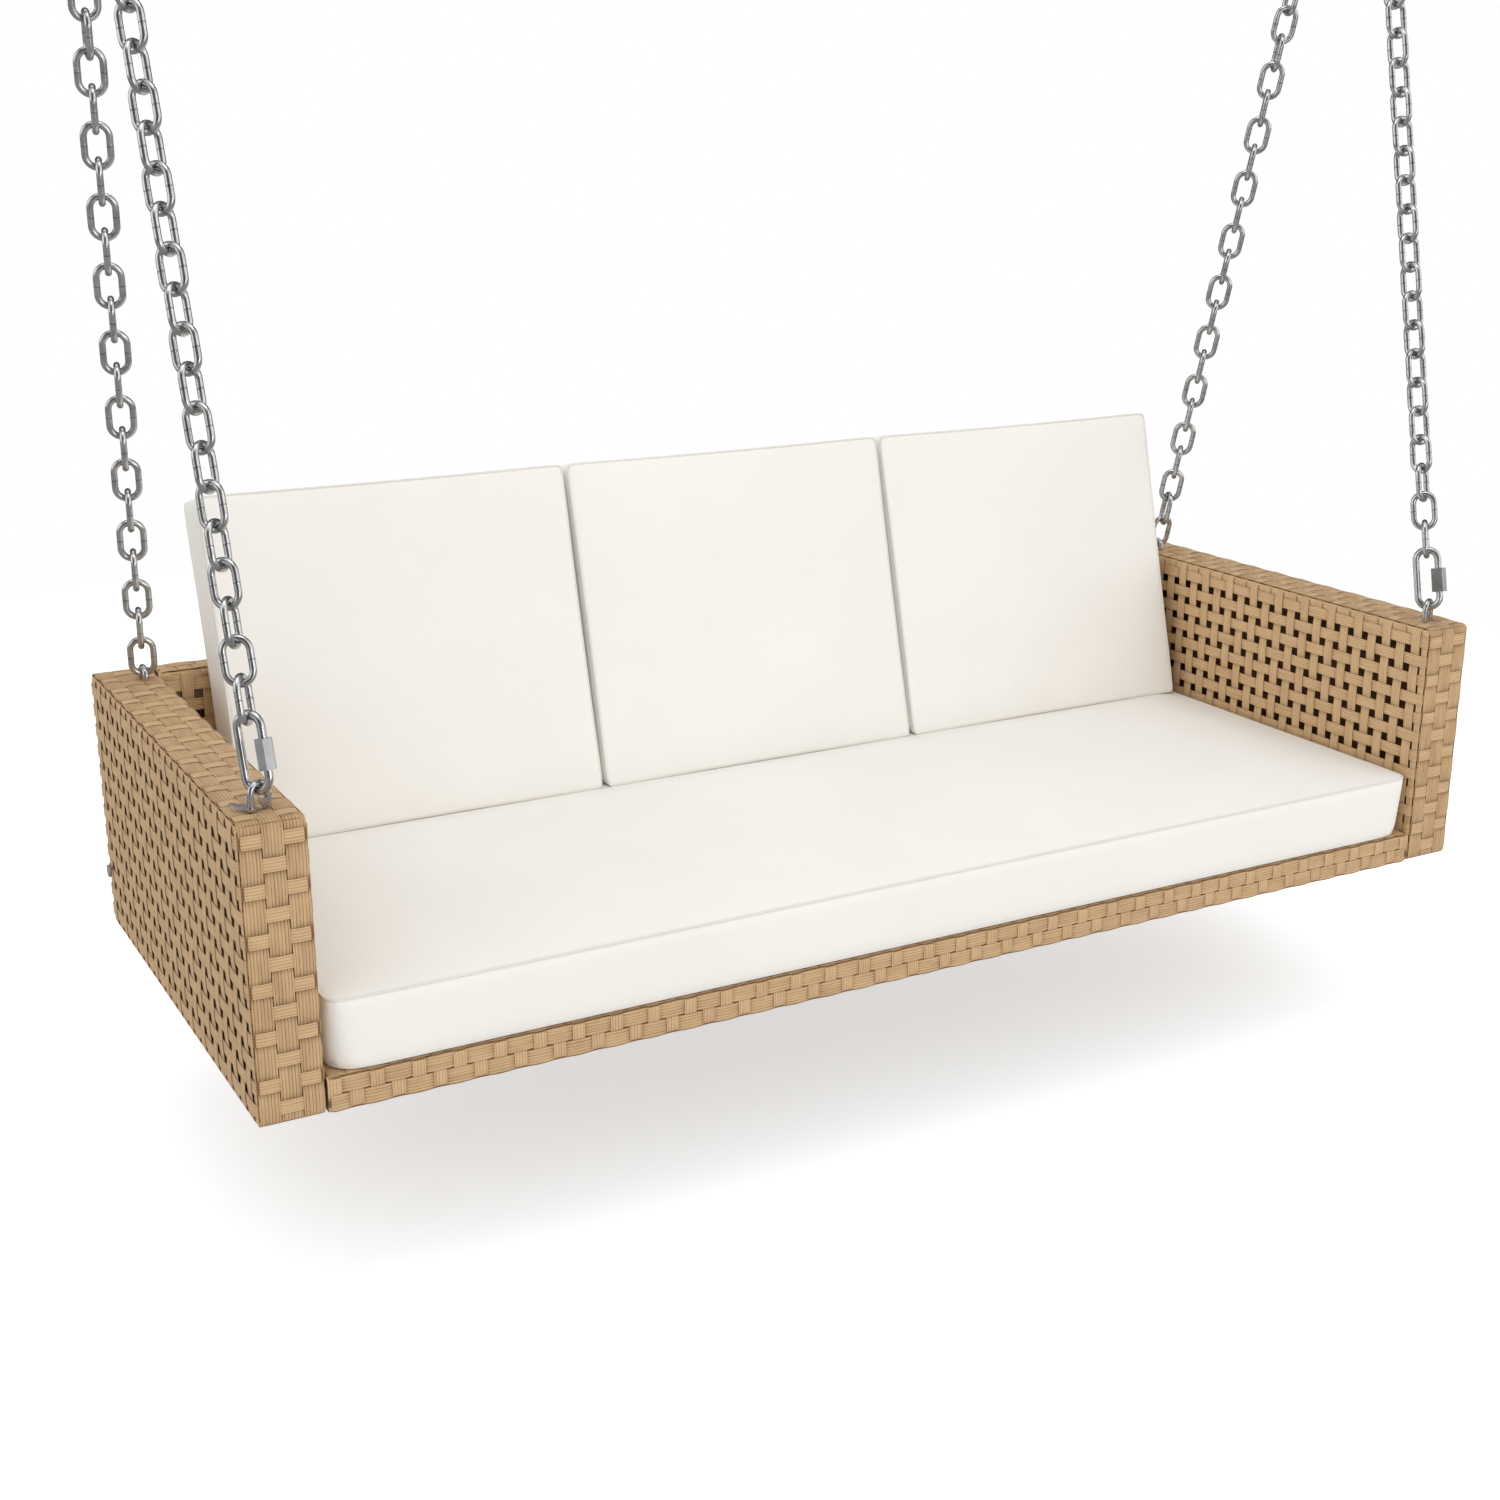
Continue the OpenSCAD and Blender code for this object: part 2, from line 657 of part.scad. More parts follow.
// rounded rectangle whose four sides are drawn in between the corners
function cushion_outline(l, w, draw) = let (r = cushion_corner) [
    for (corner = [0:3]) let (
        start = corner * 90,
        centre = [(corner == 0 || corner == 3 ? 1 : -1) * (l / 2 - r),
                  (corner < 2 ? 1 : -1) * (w / 2 - r)],
        run = (corner % 2 == 0 ? l : w) - 2 * r,
        ahead = [cos(start + 180), sin(start + 180)],
        inward = [cos(start - 90), sin(start - 90)])
    each concat(
        [for (i = [0:corner_steps]) let (a = start + i * 90 / corner_steps)
            centre + r * [cos(a), sin(a)]],
        [for (i = [1:side_steps - 1]) let (s = i / side_steps)
            centre - r * inward + run * s * ahead + draw * 4 * s * (1 - s) * inward])];

// height of a crowned face at a share of the way out to its edge
function crown_at(share, rise) = rise * (1 - pow(share, 3));

function lifted(flat, share, z) = [for (p = flat) [p[0] * share, p[1] * share, z]];

// piped box cushion on its back: rings from the back face out, round the wall and up the front
function cushion_rings(l, w, t, rise, back_rise) = let (
    edge = cushion_outline(l, w, side_draw),
    wall = cushion_outline(l, w, side_draw - seam_draw),
    n = len(face_shares) - 1)
    concat([for (s = face_shares) lifted(edge, s, -crown_at(s, back_rise))],
           [lifted(edge, 1, 0), lifted(wall, 1, t / 2), lifted(edge, 1, t)],
           [for (i = [0:n]) lifted(edge, face_shares[n - i], t + crown_at(face_shares[n - i], rise))]);

// closed shell over rings of equal length, its two ends closed by fans of triangles
module ring_shell(rings) {
    n = len(rings[0]);
    last = len(rings) - 1;
    low_tip = (last + 1) * n;
    function middle(ring) = [for (i = [0:2]) [for (p = ring) p[i]] * [for (p = ring) 1 / n]];
    polyhedron(
        concat([for (ring = rings) each ring], [middle(rings[0]), middle(rings[last])]),
        [for (i = [0:n - 1]) let (k = (i + 1) % n) each concat(
            [[low_tip, i, k], [low_tip + 1, last * n + k, last * n + i]],
            [for (j = [0:last - 1]) each [
                [j * n + i, (j + 1) * n + k, j * n + k],
                [j * n + i, (j + 1) * n + i, (j + 1) * n + k]]])]);
}

seat_cushion_d = back_y - 2 * soft_clear;
seat_cushion_l = rail_len - 2 * cushion_side_gap;

module seat_cushion() color(cushion_white)
    hung() translate([0, back_y / 2, seat_h + clear])
        ring_shell(cushion_rings(seat_cushion_l, seat_cushion_d, seat_cushion_t, seat_crown, 0));

// the back cushions' underside stands level on the crown of the seat cushion
front_under_y = back_y - (arm_h - seat_h - seat_cushion_t) * tan(back_lean)
    - back_cushion_t / cos(back_lean);
under_z = seat_h + clear + seat_cushion_t + soft_clear
    + crown_at(2 * front_under_y / back_y - 1, seat_crown);
back_rest = (arm_h + back_cushion_t * sin(back_lean) - under_z) / cos(back_lean);

// a back cushion's rings, shrunk or stretched from the top so that its underside is level
lean_rise = tan(back_lean);
function levelled(p) = [p[0],
    back_cushion_h / 2 - (back_cushion_h / 2 - p[1])
        * (back_cushion_h - (back_cushion_t - p[2]) * lean_rise) / back_cushion_h,
    p[2]];

// rear face of the back cushions leans on the top front edge of the back
module back_cushion(place) color(cushion_white)
    hung() translate([back_row_shift + place * (back_cushion_w + back_cushion_gap),
                      back_y - soft_clear / cos(back_lean), arm_h])
        rotate([90 - back_lean, 0, 0]) translate([0, back_cushion_h / 2 - back_rest, 0])
            ring_shell([for (ring = cushion_rings(back_cushion_w, back_cushion_h, back_cushion_t,
                                                  back_crown, 0)) [for (p = ring) levelled(p)]]);

// ---------------------------------------------------------------- nodes

ceiling_plate(-1);  // ceiling_plate_left
ceiling_plate(1);  // ceiling_plate_right
ceiling_bow(-1);  // ceiling_bow_left
ceiling_bow(1);  // ceiling_bow_right
top_ring(-1);  // top_ring_left
top_ring(1);  // top_ring_right
front_chain(-1, front_left_turns);  // chain_front_left
front_chain(1, front_right_turns);  // chain_front_right
rear_chain(-1, rear_left_turns);  // chain_rear_left
rear_chain(1, rear_right_turns);  // chain_rear_right
quick_link(-1);  // quick_link_left
quick_link(1);  // quick_link_right
quick_link_sleeve(-1);  // quick_link_sleeve_left
quick_link_sleeve(1);  // quick_link_sleeve_right
front_eye(-1);  // front_eye_left
front_eye(1);  // front_eye_right
rear_eye(-1);  // rear_eye_left
rear_eye(1);  // rear_eye_right
eye_nuts();
arm_top_rail(-1);  // arm_top_rail_left
arm_top_rail(1);  // arm_top_rail_right
arm_bottom_rail(-1);  // arm_bottom_rail_left
arm_bottom_rail(1);  // arm_bottom_rail_right
arm_post(-1, weave_t);  // arm_front_post_left
arm_post(1, weave_t);  // arm_front_post_right
arm_post(-1, bench_d - weave_t - arm_rail);  // arm_rear_post_left
arm_post(1, bench_d - weave_t - arm_rail);  // arm_rear_post_right
arm_liner(-1);  // arm_liner_left
arm_liner(1);  // arm_liner_right
arm_weave_side(-1, bench_w / 2 - weave_t);  // arm_weave_outer_left
arm_weave_side(1, bench_w / 2 - weave_t);  // arm_weave_outer_right
arm_weave_side(-1, inner_x);  // arm_weave_inner_left
arm_weave_side(1, inner_x);  // arm_weave_inner_right
arm_weave_top(-1);  // arm_weave_top_left
arm_weave_top(1);  // arm_weave_top_right
arm_weave_front(-1);  // arm_weave_front_left
arm_weave_front(1);  // arm_weave_front_right
arm_weave_rear(-1);  // arm_weave_rear_left
arm_weave_rear(1);  // arm_weave_rear_right
arm_weave_bottom(-1);  // arm_weave_bottom_left
arm_weave_bottom(1);  // arm_weave_bottom_right
corner_staples();
frame_bolts();
seat_front_rail();
seat_rear_rail();
seat_cross_bars();
seat_deck_weave();
seat_apron_weave();
back_top_rail();
back_posts();
back_weave_front();
back_weave_rear();
back_weave_top();
back_weave_bottom();
seat_cushion();
back_cushion(-1);  // back_cushion_left
back_cushion(0);  // back_cushion_middle
back_cushion(1);  // back_cushion_right
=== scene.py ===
import math

import bmesh
import bpy
from mathutils import Matrix, Vector
from mathutils.bvhtree import BVHTree


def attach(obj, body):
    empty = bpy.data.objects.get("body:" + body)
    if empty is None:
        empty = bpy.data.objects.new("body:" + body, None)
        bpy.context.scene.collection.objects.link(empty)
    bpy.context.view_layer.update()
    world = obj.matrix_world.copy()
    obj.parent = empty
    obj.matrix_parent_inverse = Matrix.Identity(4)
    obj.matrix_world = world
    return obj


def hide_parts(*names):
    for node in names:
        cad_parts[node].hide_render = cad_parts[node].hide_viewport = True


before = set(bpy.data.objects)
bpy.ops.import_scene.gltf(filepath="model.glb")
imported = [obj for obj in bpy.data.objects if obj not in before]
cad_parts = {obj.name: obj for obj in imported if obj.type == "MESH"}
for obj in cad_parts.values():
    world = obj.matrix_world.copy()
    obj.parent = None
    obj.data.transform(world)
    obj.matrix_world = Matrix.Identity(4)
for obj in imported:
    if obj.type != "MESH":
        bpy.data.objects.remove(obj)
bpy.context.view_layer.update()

# --- Bench axes -----------------------------------------------------------------
# The bench hangs leaning back by a few degrees. Its pieces are made in its own
# level frame (X across, Y from the front edge back, Z up from the underside of
# the arms) and BENCH carries them under the ceiling hangers.

LEAN = math.radians(3)
level = Matrix.Rotation(-LEAN, 4, "X")
arm_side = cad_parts["arm_weave_outer_right"].data.vertices
arm_side_points = [level.inverted() @ v.co for v in arm_side]
arm_low = Vector([min(p[i] for p in arm_side_points) for i in range(3)])
arm_high = Vector([max(p[i] for p in arm_side_points) for i in range(3)])
BENCH = level @ Matrix.Translation((0, arm_low.y, arm_low.z))
BENCH_W = 2 * arm_high.x
BENCH_D = arm_high.y - arm_low.y
ARM_H = arm_high.z - arm_low.z


def set_on_bench(piece, slot, *nodes):
    """Carries a piece made in the bench's own frame under the hangers, for these nodes."""
    piece.data.transform(BENCH)
    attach(piece, "bench")
    if nodes:
        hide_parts(*nodes)
    return piece


# --- Camera ---------------------------------------------------------------------
# A 49 mm lens stands at the left front corner, above the arms, and looks down
# and to the right along the bench.

CAMERA_PLACE = (-1.4981, -2.1456, 1.1356)
CAMERA_TURN = math.radians(-29.04)
CAMERA_TILT = math.radians(90 - 17.447)

camera_data = bpy.data.cameras.new("camera")
camera_data.sensor_width = 36
camera_data.lens = 49.22
camera_data.clip_end = 100
camera = bpy.data.objects.new("camera", camera_data)
bpy.context.scene.collection.objects.link(camera)
bpy.context.scene.camera = camera
camera.matrix_world = (
    BENCH
    @ Matrix.Translation(CAMERA_PLACE)
    @ Matrix.Rotation(CAMERA_TURN, 4, "Z")
    @ Matrix.Rotation(CAMERA_TILT, 4, "X")
)

# --- Floor and light ------------------------------------------------------------
# A white studio floor a short way below the bench, an even white surround that
# reflections see dimmed but for three bright panels, and two soft lamps, overhead
# and in front.

bpy.context.scene.view_settings.view_transform = "Standard"


class Tie:
    """A node's output, on which sums and products add Math nodes."""

    def __init__(self, nodes, socket):
        self.nodes = nodes
        self.socket = socket

    def _maths(self, operation, *others):
        return self.nodes.add("ShaderNodeMath", {"operation": operation}, dict(enumerate(others)))

    def __add__(self, other):
        return self._maths("ADD", self, other)

    def __sub__(self, other):
        return self._maths("SUBTRACT", self, other)

    def __rsub__(self, other):
        return self._maths("SUBTRACT", other, self)

    def __mul__(self, other):
        return self._maths("MULTIPLY", self, other)

    def __truediv__(self, other):
        return self._maths("DIVIDE", self, other)

    __radd__ = __add__
    __rmul__ = __mul__

    def __abs__(self):
        return self._maths("ABSOLUTE", self)

    def sine(self):
        return self._maths("SINE", self)

    def cosine(self):
        return self._maths("COSINE", self)

    def clamped(self):
        return self.nodes.add("ShaderNodeMath", {"operation": "ADD", "use_clamp": True}, {0: self, 1: 0})

    def sign(self):
        return self._maths("SIGN", self)

    def power(self, other):
        return self._maths("POWER", self, other)

    def out(self, name):
        """Another output of the same node."""
        return Tie(self.nodes, self.socket.node.outputs[name])


class Nodes:
    """The nodes of one tree, each made by its type, its settings and its sockets."""

    def __init__(self, tree):
        self.tree = tree

    def add(self, kind, settings=None, sockets=None, out=None):
        node = self.tree.nodes.new(kind)
        for name, value in (settings or {}).items():
            if name == "stops":
                ramp = node.color_ramp
                while len(ramp.elements) < len(value):
                    ramp.elements.new(0.5)
                for element, (place, colour) in zip(ramp.elements, value):
                    element.position = place
                    element.color = (*colour, 1)
            else:
                setattr(node, name, value)
        for name, value in (sockets or {}).items():
            if isinstance(name, int):
                socket = node.inputs[name]
            else:
                socket = next(s for s in node.inputs if s.name == name and s.enabled)
            for one in value if isinstance(value, list) else [value]:
                if isinstance(one, Tie):
                    self.tree.links.new(one.socket, socket)
                else:
                    socket.default_value = one
        shown = [s for s in node.outputs if s.enabled]
        if not shown:
            return node
        return Tie(self, node.outputs[out] if out else shown[0])


def material_named(name):
    """A new material, its nodes and its empty output."""
    made = bpy.data.materials.new(name)
    made.use_nodes = True
    made.node_tree.nodes.clear()
    return made, Nodes(made.node_tree)


FLOOR_DROP = 0.22
NEAR_FLOOR = 2.6
FAR_FLOOR = 3.6
FLOOR_REACH = 40
floor_z = (BENCH @ Vector((0, BENCH_D, 0))).z - FLOOR_DROP
floor_mesh = bpy.data.meshes.new("studio_floor")
floor_corners = [(x * FLOOR_REACH, y * FLOOR_REACH, floor_z) for x, y in (
    (-1, -1), (1, -1), (1, 1), (-1, 1))]
floor_mesh.from_pydata(floor_corners, [], [(0, 1, 2, 3)])
floor = bpy.data.objects.new("studio_floor", floor_mesh)
bpy.context.scene.collection.objects.link(floor)

floor_white, n = material_named("studio_white")
seen = n.add("ShaderNodeLightPath")
lit = n.add("ShaderNodeBsdfDiffuse", {}, {"Color": (0.80, 0.80, 0.80, 1)})
dim = n.add("ShaderNodeEmission", {}, {"Color": (1, 1, 1, 1), "Strength": 0.40})
glow = n.add("ShaderNodeEmission", {}, {"Color": (0.97, 0.99, 1, 1), "Strength": 0.50})
lifted = n.add("ShaderNodeAddShader", {}, {0: lit, 1: glow})
white = n.add("ShaderNodeEmission", {}, {"Color": (1, 1, 1, 1), "Strength": 1})
spot = n.add("ShaderNodeTexCoord", out="Object")
away = n.add("ShaderNodeVectorMath", {"operation": "LENGTH"}, {0: spot}, out="Value")
far = ((away - NEAR_FLOOR) / (FAR_FLOOR - NEAR_FLOOR)).clamped()
shown = n.add("ShaderNodeMixShader", {}, {0: far, 1: lifted, 2: white})
unseen = n.add("ShaderNodeMixShader", {}, {0: seen.out("Is Glossy Ray"), 1: lit, 2: dim})
surface = n.add("ShaderNodeMixShader", {}, {0: seen, 1: unseen, 2: shown})
n.add("ShaderNodeOutputMaterial", {}, {"Surface": surface})
floor.data.materials.append(floor_white)

PANELS = ((-0.95, 0.25, 0.15), (0.75, -0.62, 0.25), (0.0, 0.0, 1.0))
PANEL_EDGE = 0.72
PANEL_SHARPNESS = 6


def panel_share(n, look, toward):
    """How much of the bright panel that lies toward a direction a reflection sees."""
    facing = n.add("ShaderNodeVectorMath", {"operation": "DOT_PRODUCT"}, {0: look, 1: toward}, out="Value")
    return ((facing - PANEL_EDGE) * PANEL_SHARPNESS).clamped()


world = bpy.data.worlds.new("surround")
bpy.context.scene.world = world
world.use_nodes = True
world.node_tree.nodes.clear()
n = Nodes(world.node_tree)
seen = n.add("ShaderNodeLightPath")
soft = n.add("ShaderNodeBackground", {}, {"Color": (1, 1, 1, 1), "Strength": 0.97})
dim = n.add("ShaderNodeBackground", {}, {"Color": (1, 1, 1, 1), "Strength": 0.14})
panel = n.add("ShaderNodeBackground", {}, {"Color": (1, 1, 1, 1), "Strength": 1.5})
white = n.add("ShaderNodeBackground", {}, {"Color": (1, 1, 1, 1), "Strength": 1})
look = n.add("ShaderNodeTexCoord", out="Generated")
panels = sum(panel_share(n, look, toward) for toward in PANELS)
mirrored = n.add("ShaderNodeMixShader", {}, {0: panels.clamped(), 1: dim, 2: panel})
unseen = n.add("ShaderNodeMixShader", {}, {0: seen.out("Is Glossy Ray"), 1: soft, 2: mirrored})
surface = n.add("ShaderNodeMixShader", {}, {0: seen, 1: unseen, 2: white})
n.add("ShaderNodeOutputWorld", {}, {"Surface": surface})


def soft_lamp(name, place, size, watts):
    """A square lamp that points at the middle of the bench."""
    data = bpy.data.lights.new(name, "AREA")
    data.size = size
    data.energy = watts
    lamp = bpy.data.objects.new(name, data)
    bpy.context.scene.collection.objects.link(lamp)
    lamp.location = place
    aim = BENCH @ Vector((0, BENCH_D / 2, ARM_H / 2)) - lamp.location
    lamp.rotation_euler = aim.to_track_quat("-Z", "Y").to_euler()


soft_lamp("overhead", (-0.3, -0.8, 2.2), size=1.4, watts=14)
soft_lamp("in_front", (0.6, -4.6, -1.1), size=1.7, watts=26)

# --- Woven strand ---------------------------------------------------------------
# Flat resin strand, 12 to 28 mm wide and ribbed along its length, laid over and
# under the strands that cross it, in closed loops round the tube frames and in
# open rows across the seat.

GRILLE_W = 0.0172
STRAND_T = 0.0011
STRAND_LIFT = 0.0006
STRAND_PITCH = 0.030
STRAND_STEP = 0.0048
ROW_STEP = STRAND_STEP * 2.5
BEND_POINTS = 4
CORNER_R = STRAND_T * 0.42
STREAK_SHIFT = 1.37
STRAND_DEPTH = STRAND_LIFT + STRAND_T / 2
RIB_PITCH = 0.004


def resin_material(name, low, middle, high):
    """Matt resin strand in three tones, ribbed and streaked along its length, with painted shade in the
    grooves of its ribs, along its long edges and where it dips under a crossing strand.
    """
    made, n = material_named(name)
    split = n.add("ShaderNodeSeparateXYZ", {}, {0: n.add("ShaderNodeUVMap", {"uv_map": "UVMap"})})
    along, across = split, split.out("Y")
    strand = n.add("ShaderNodeAttribute", {"attribute_name": "strand"}, out="Fac")
    fine = n.add("ShaderNodeCombineXYZ", {}, {
        0: along * 11, 1: across * 700, 2: strand * 7.3})
    streaks = n.add("ShaderNodeTexNoise", {}, {"Vector": fine, "Scale": 1.0, "Detail": 3.0}, out="Fac")
    broad = n.add("ShaderNodeCombineXYZ", {}, {
        0: along * 22, 1: across * 50, 2: strand * 5.7})
    patches = n.add("ShaderNodeTexNoise", {}, {"Vector": broad, "Scale": 1.0, "Detail": 2.0}, out="Fac")
    # painted shade: the tone drops in the grooves between the ribs, where shade would fall
    groove = (1 - abs((across * (math.pi / RIB_PITCH)).cosine())).power(4)
    # painted shade: the strand darkens towards its long edges, where it meets its neighbours
    painted_edge_shade = n.add("ShaderNodeAttribute", {"attribute_name": "edge"}, out="Fac").power(22)
    # painted shade: the strand darkens where it dips under the strand that crosses it
    under = n.add("ShaderNodeAttribute", {"attribute_name": "under"}, out="Fac").power(4)
    tone = 0.36 + 0.34 * streaks + 0.22 * patches - 0.28 * groove - 0.55 * painted_edge_shade - 0.46 * under
    colour = n.add("ShaderNodeValToRGB", {
        "stops": [(0.10, low), (0.42, middle), (0.80, high)]}, {"Fac": tone})
    bump = n.add("ShaderNodeBump", {}, {
        "Strength": 0.7, "Distance": 0.0007, "Height": 0.7 * (1 - groove) + 0.3 * streaks})
    shader = n.add("ShaderNodeBsdfPrincipled", {}, {
        "Base Color": colour, "Roughness": 0.50 + 0.16 * streaks, "Normal": bump})
    n.add("ShaderNodeOutputMaterial", {}, {"Surface": shader})
    return made


resin = resin_material(
    "woven_resin", (0.185, 0.086, 0.028), (0.575, 0.378, 0.192), (0.810, 0.575, 0.338))


def tree_named(name, inputs):
    """A geometry tree with named inputs, its nodes, and a Tie to each input."""
    tree = bpy.data.node_groups.new(name, "GeometryNodeTree")
    for label, kind in inputs.items():
        tree.interface.new_socket(label, in_out="INPUT", socket_type="NodeSocket" + kind)
    tree.interface.new_socket("Mesh", in_out="OUTPUT", socket_type="NodeSocketGeometry")
    nodes = Nodes(tree)
    first = nodes.add("NodeGroupInput")
    return tree, nodes, {label: first.out(label) for label in inputs}


def stored(n, geometry, name, value, kind="FLOAT", domain="POINT"):
    """The geometry with a named attribute on it."""
    return n.add("GeometryNodeStoreNamedAttribute", {"data_type": kind, "domain": domain}, {
        "Geometry": geometry, "Name": name, "Value": value})


def strand_swept(n, given, paths, number, shift, wave):
    """Ribbed strand along every path, moved by shift, with its own lengthwise UV map."""
    place = n.add("ShaderNodeCombineXYZ", {}, {
        0: shift[0], 1: shift[1],
        2: shift[2] + (number - (given["Strands"] - 1) / 2) * given["Pitch"]})
    laid = n.add("GeometryNodeSetPosition", {}, {"Geometry": paths, "Offset": place})
    run = n.add("GeometryNodeSplineParameter", out="Length")
    laid = stored(n, laid, "along", run + number * STREAK_SHIFT)
    laid = stored(n, laid, "strand", number)
    # under: how far the strand dips below the one that crosses it, which the resin darkens as painted
    # shade
    laid = stored(n, laid, "under", 0.5 - 0.5 * wave)
    laid = n.add("GeometryNodeSetCurveNormal", {"mode": "Z_UP"}, {"Curve": laid})
    section = n.add("GeometryNodeCurvePrimitiveQuadrilateral", {}, {
        "Width": STRAND_T, "Height": given["Strand width"]})
    section = n.add("GeometryNodeFilletCurve", {"mode": "POLY"}, {
        "Curve": section, "Count": 1, "Radius": CORNER_R})
    side = n.add("ShaderNodeSeparateXYZ", {}, {0: n.add("GeometryNodeInputPosition")}, out="Y")
    section = stored(n, section, "across", side)
    # edge: 0 along the middle of the strand, 1 at its long edges; the resin darkens it as painted shade
    section = stored(n, section, "edge", abs(side) * 2 / given["Strand width"])
    ribbon = n.add("GeometryNodeCurveToMesh", {}, {"Curve": laid, "Profile Curve": section})
    uv = n.add("ShaderNodeCombineXYZ", {}, {
        0: n.add("GeometryNodeInputNamedAttribute", {"data_type": "FLOAT"}, {"Name": "along"}),
        1: n.add("GeometryNodeInputNamedAttribute", {"data_type": "FLOAT"}, {"Name": "across"})})
    return stored(n, ribbon, "UVMap", uv, "FLOAT2", "CORNER")


# closed strands in the X-Y plane, spread along Z, that wave over and under: with
# Lay 1 and with -1 they wave opposite ways, with 0 they lie flat, and each next
# strand waves against the one before
strand_loops, n, given = tree_named("strand_loops", {
    "Width": "Float", "Height": "Float",
    "Strands": "Int", "Pitch": "Float", "Strand width": "Float",
    "X crossing": "Float", "X shift": "Float", "Y crossing": "Float", "Y shift": "Float",
    "Lay": "Float", "Bend": "Float", "Step": "Float"})
loop = n.add("GeometryNodeCurvePrimitiveQuadrilateral", {}, {
    "Width": given["Width"] - 2 * STRAND_DEPTH, "Height": given["Height"] - 2 * STRAND_DEPTH})
loop = n.add("GeometryNodeFilletCurve", {"mode": "POLY"}, {
    "Curve": loop, "Count": BEND_POINTS, "Radius": given["Bend"]})
loop = n.add("GeometryNodeResampleCurve", {"mode": "LENGTH"}, {
    "Curve": loop, "Length": given["Step"]})
copies = n.add("GeometryNodeDuplicateElements", {"domain": "SPLINE"}, {
    "Geometry": loop, "Amount": given["Strands"]})
number = copies.out("Duplicate Index")
spot = n.add("ShaderNodeSeparateXYZ", {}, {0: n.add("GeometryNodeInputPosition")})
x, y = spot, spot.out("Y")
half_w = given["Width"] / 2 - STRAND_DEPTH - given["Bend"]
half_h = given["Height"] / 2 - STRAND_DEPTH - given["Bend"]
on_y_side = ((half_h - abs(y)) / given["Bend"]).clamped()
on_x_side = ((half_w - abs(x)) / given["Bend"]).clamped()
turn = (1 - 2 * n.add("ShaderNodeMath", {"operation": "MODULO"}, {0: number, 1: 2})) * given["Lay"]
along_y = turn * on_y_side * ((y / given["Y crossing"] - given["Y shift"]) * math.pi).cosine()
along_x = turn * on_x_side * ((x / given["X crossing"] - given["X shift"]) * math.pi).cosine()
shift = (STRAND_LIFT * along_y * x.sign(), STRAND_LIFT * along_x * y.sign(), 0)
n.add("NodeGroupOutput", {}, {
    0: strand_swept(n, given, copies, number, shift, along_x + along_y)})

# open strands along X, spread along Z, that wave in Y
strand_rows, n, given = tree_named("strand_rows", {
    "Length": "Float", "Strands": "Int", "Pitch": "Float", "Strand width": "Float",
    "X crossing": "Float", "X shift": "Float", "Lay": "Float"})
row = n.add("GeometryNodeCurvePrimitiveLine", {}, {
    "Start": n.add("ShaderNodeCombineXYZ", {}, {0: given["Length"] / -2}),
    "End": n.add("ShaderNodeCombineXYZ", {}, {0: given["Length"] / 2})})
row = n.add("GeometryNodeResampleCurve", {"mode": "LENGTH"}, {"Curve": row, "Length": ROW_STEP})
copies = n.add("GeometryNodeDuplicateElements", {"domain": "SPLINE"}, {
    "Geometry": row, "Amount": given["Strands"]})
number = copies.out("Duplicate Index")
x = n.add("ShaderNodeSeparateXYZ", {}, {0: n.add("GeometryNodeInputPosition")})
turn = (1 - 2 * n.add("ShaderNodeMath", {"operation": "MODULO"}, {0: number, 1: 2})) * given["Lay"]
along_x = turn * ((x / given["X crossing"] - given["X shift"]) * math.pi).cosine()
shift = (0, STRAND_LIFT * along_x, 0)
n.add("NodeGroupOutput", {}, {0: strand_swept(n, given, copies, number, shift, along_x)})


def grown(name, tree, start=None):
    """The plain mesh object that a geometry tree makes, from a start mesh if it takes one."""
    seed = bpy.data.objects.new(name + "_seed", start or bpy.data.meshes.new(name + "_seed"))
    bpy.context.scene.collection.objects.link(seed)
    seed.modifiers.new("make", "NODES").node_group = tree
    bpy.context.view_layer.update()
    depsgraph = bpy.context.evaluated_depsgraph_get()
    mesh = bpy.data.meshes.new_from_object(seed.evaluated_get(depsgraph), depsgraph=depsgraph)
    bpy.data.objects.remove(seed)
    mesh.name = name
    mesh.shade_smooth()
    piece = bpy.data.objects.new(name, mesh)
    bpy.context.scene.collection.objects.link(piece)
    return piece


SHARP_ANGLE = math.radians(40)


def woven(name, families, material):
    """One mesh of strands: each family is its tree, its sizes, its turn and its place."""
    tree, n, _ = tree_named(name + "_tree", {})
    laid = [n.add("GeometryNodeTransform", {}, {
        "Geometry": n.add("GeometryNodeGroup", {"node_tree": kind}, sizes),
        "Rotation": turned, "Translation": place}) for kind, sizes, turned, place in families]
    joined = n.add("GeometryNodeJoinGeometry", {}, {0: laid})
    joined = n.add("GeometryNodeRealizeInstances", {}, {0: joined})
    n.add("NodeGroupOutput", {}, {0: n.add("GeometryNodeSetMaterial", {}, {
        "Geometry": joined, "Material": material})})
    piece = grown(name, tree)
    piece.data.set_sharp_from_angle(angle=SHARP_ANGLE)
    return piece


# --- Arms -----------------------------------------------------------------------
# Each arm is a box woven in one go over its tube frame: upright loops across it,
# level loops round it, and three lengthwise over its top, front, foot and rear.

ARM_T = 0.086
ARM_ROUND = 3
EDGE_BARE = 0.0035
ROUND_PITCH = (ARM_T - 2 * EDGE_BARE) / ARM_ROUND
ARM_BEND = 0.007
UPRIGHTS = 24
LEVELS = 12
BORDER_W = 0.012
BORDER_IN = 0.0085
BORDER_INSET = 0.0022
QUARTER = math.pi / 2
ARM_MID = (0, BENCH_D / 2, ARM_H / 2)
CLOSE = 0.0008
ARM_STRAND = {"Bend": ARM_BEND, "Step": STRAND_STEP}
BORDER = {"Strands": 2, "Strand width": BORDER_W, "Lay": 0.0,
          "X crossing": 1.0, "X shift": 0.5, "Y crossing": 1.0, "Y shift": 0.5}

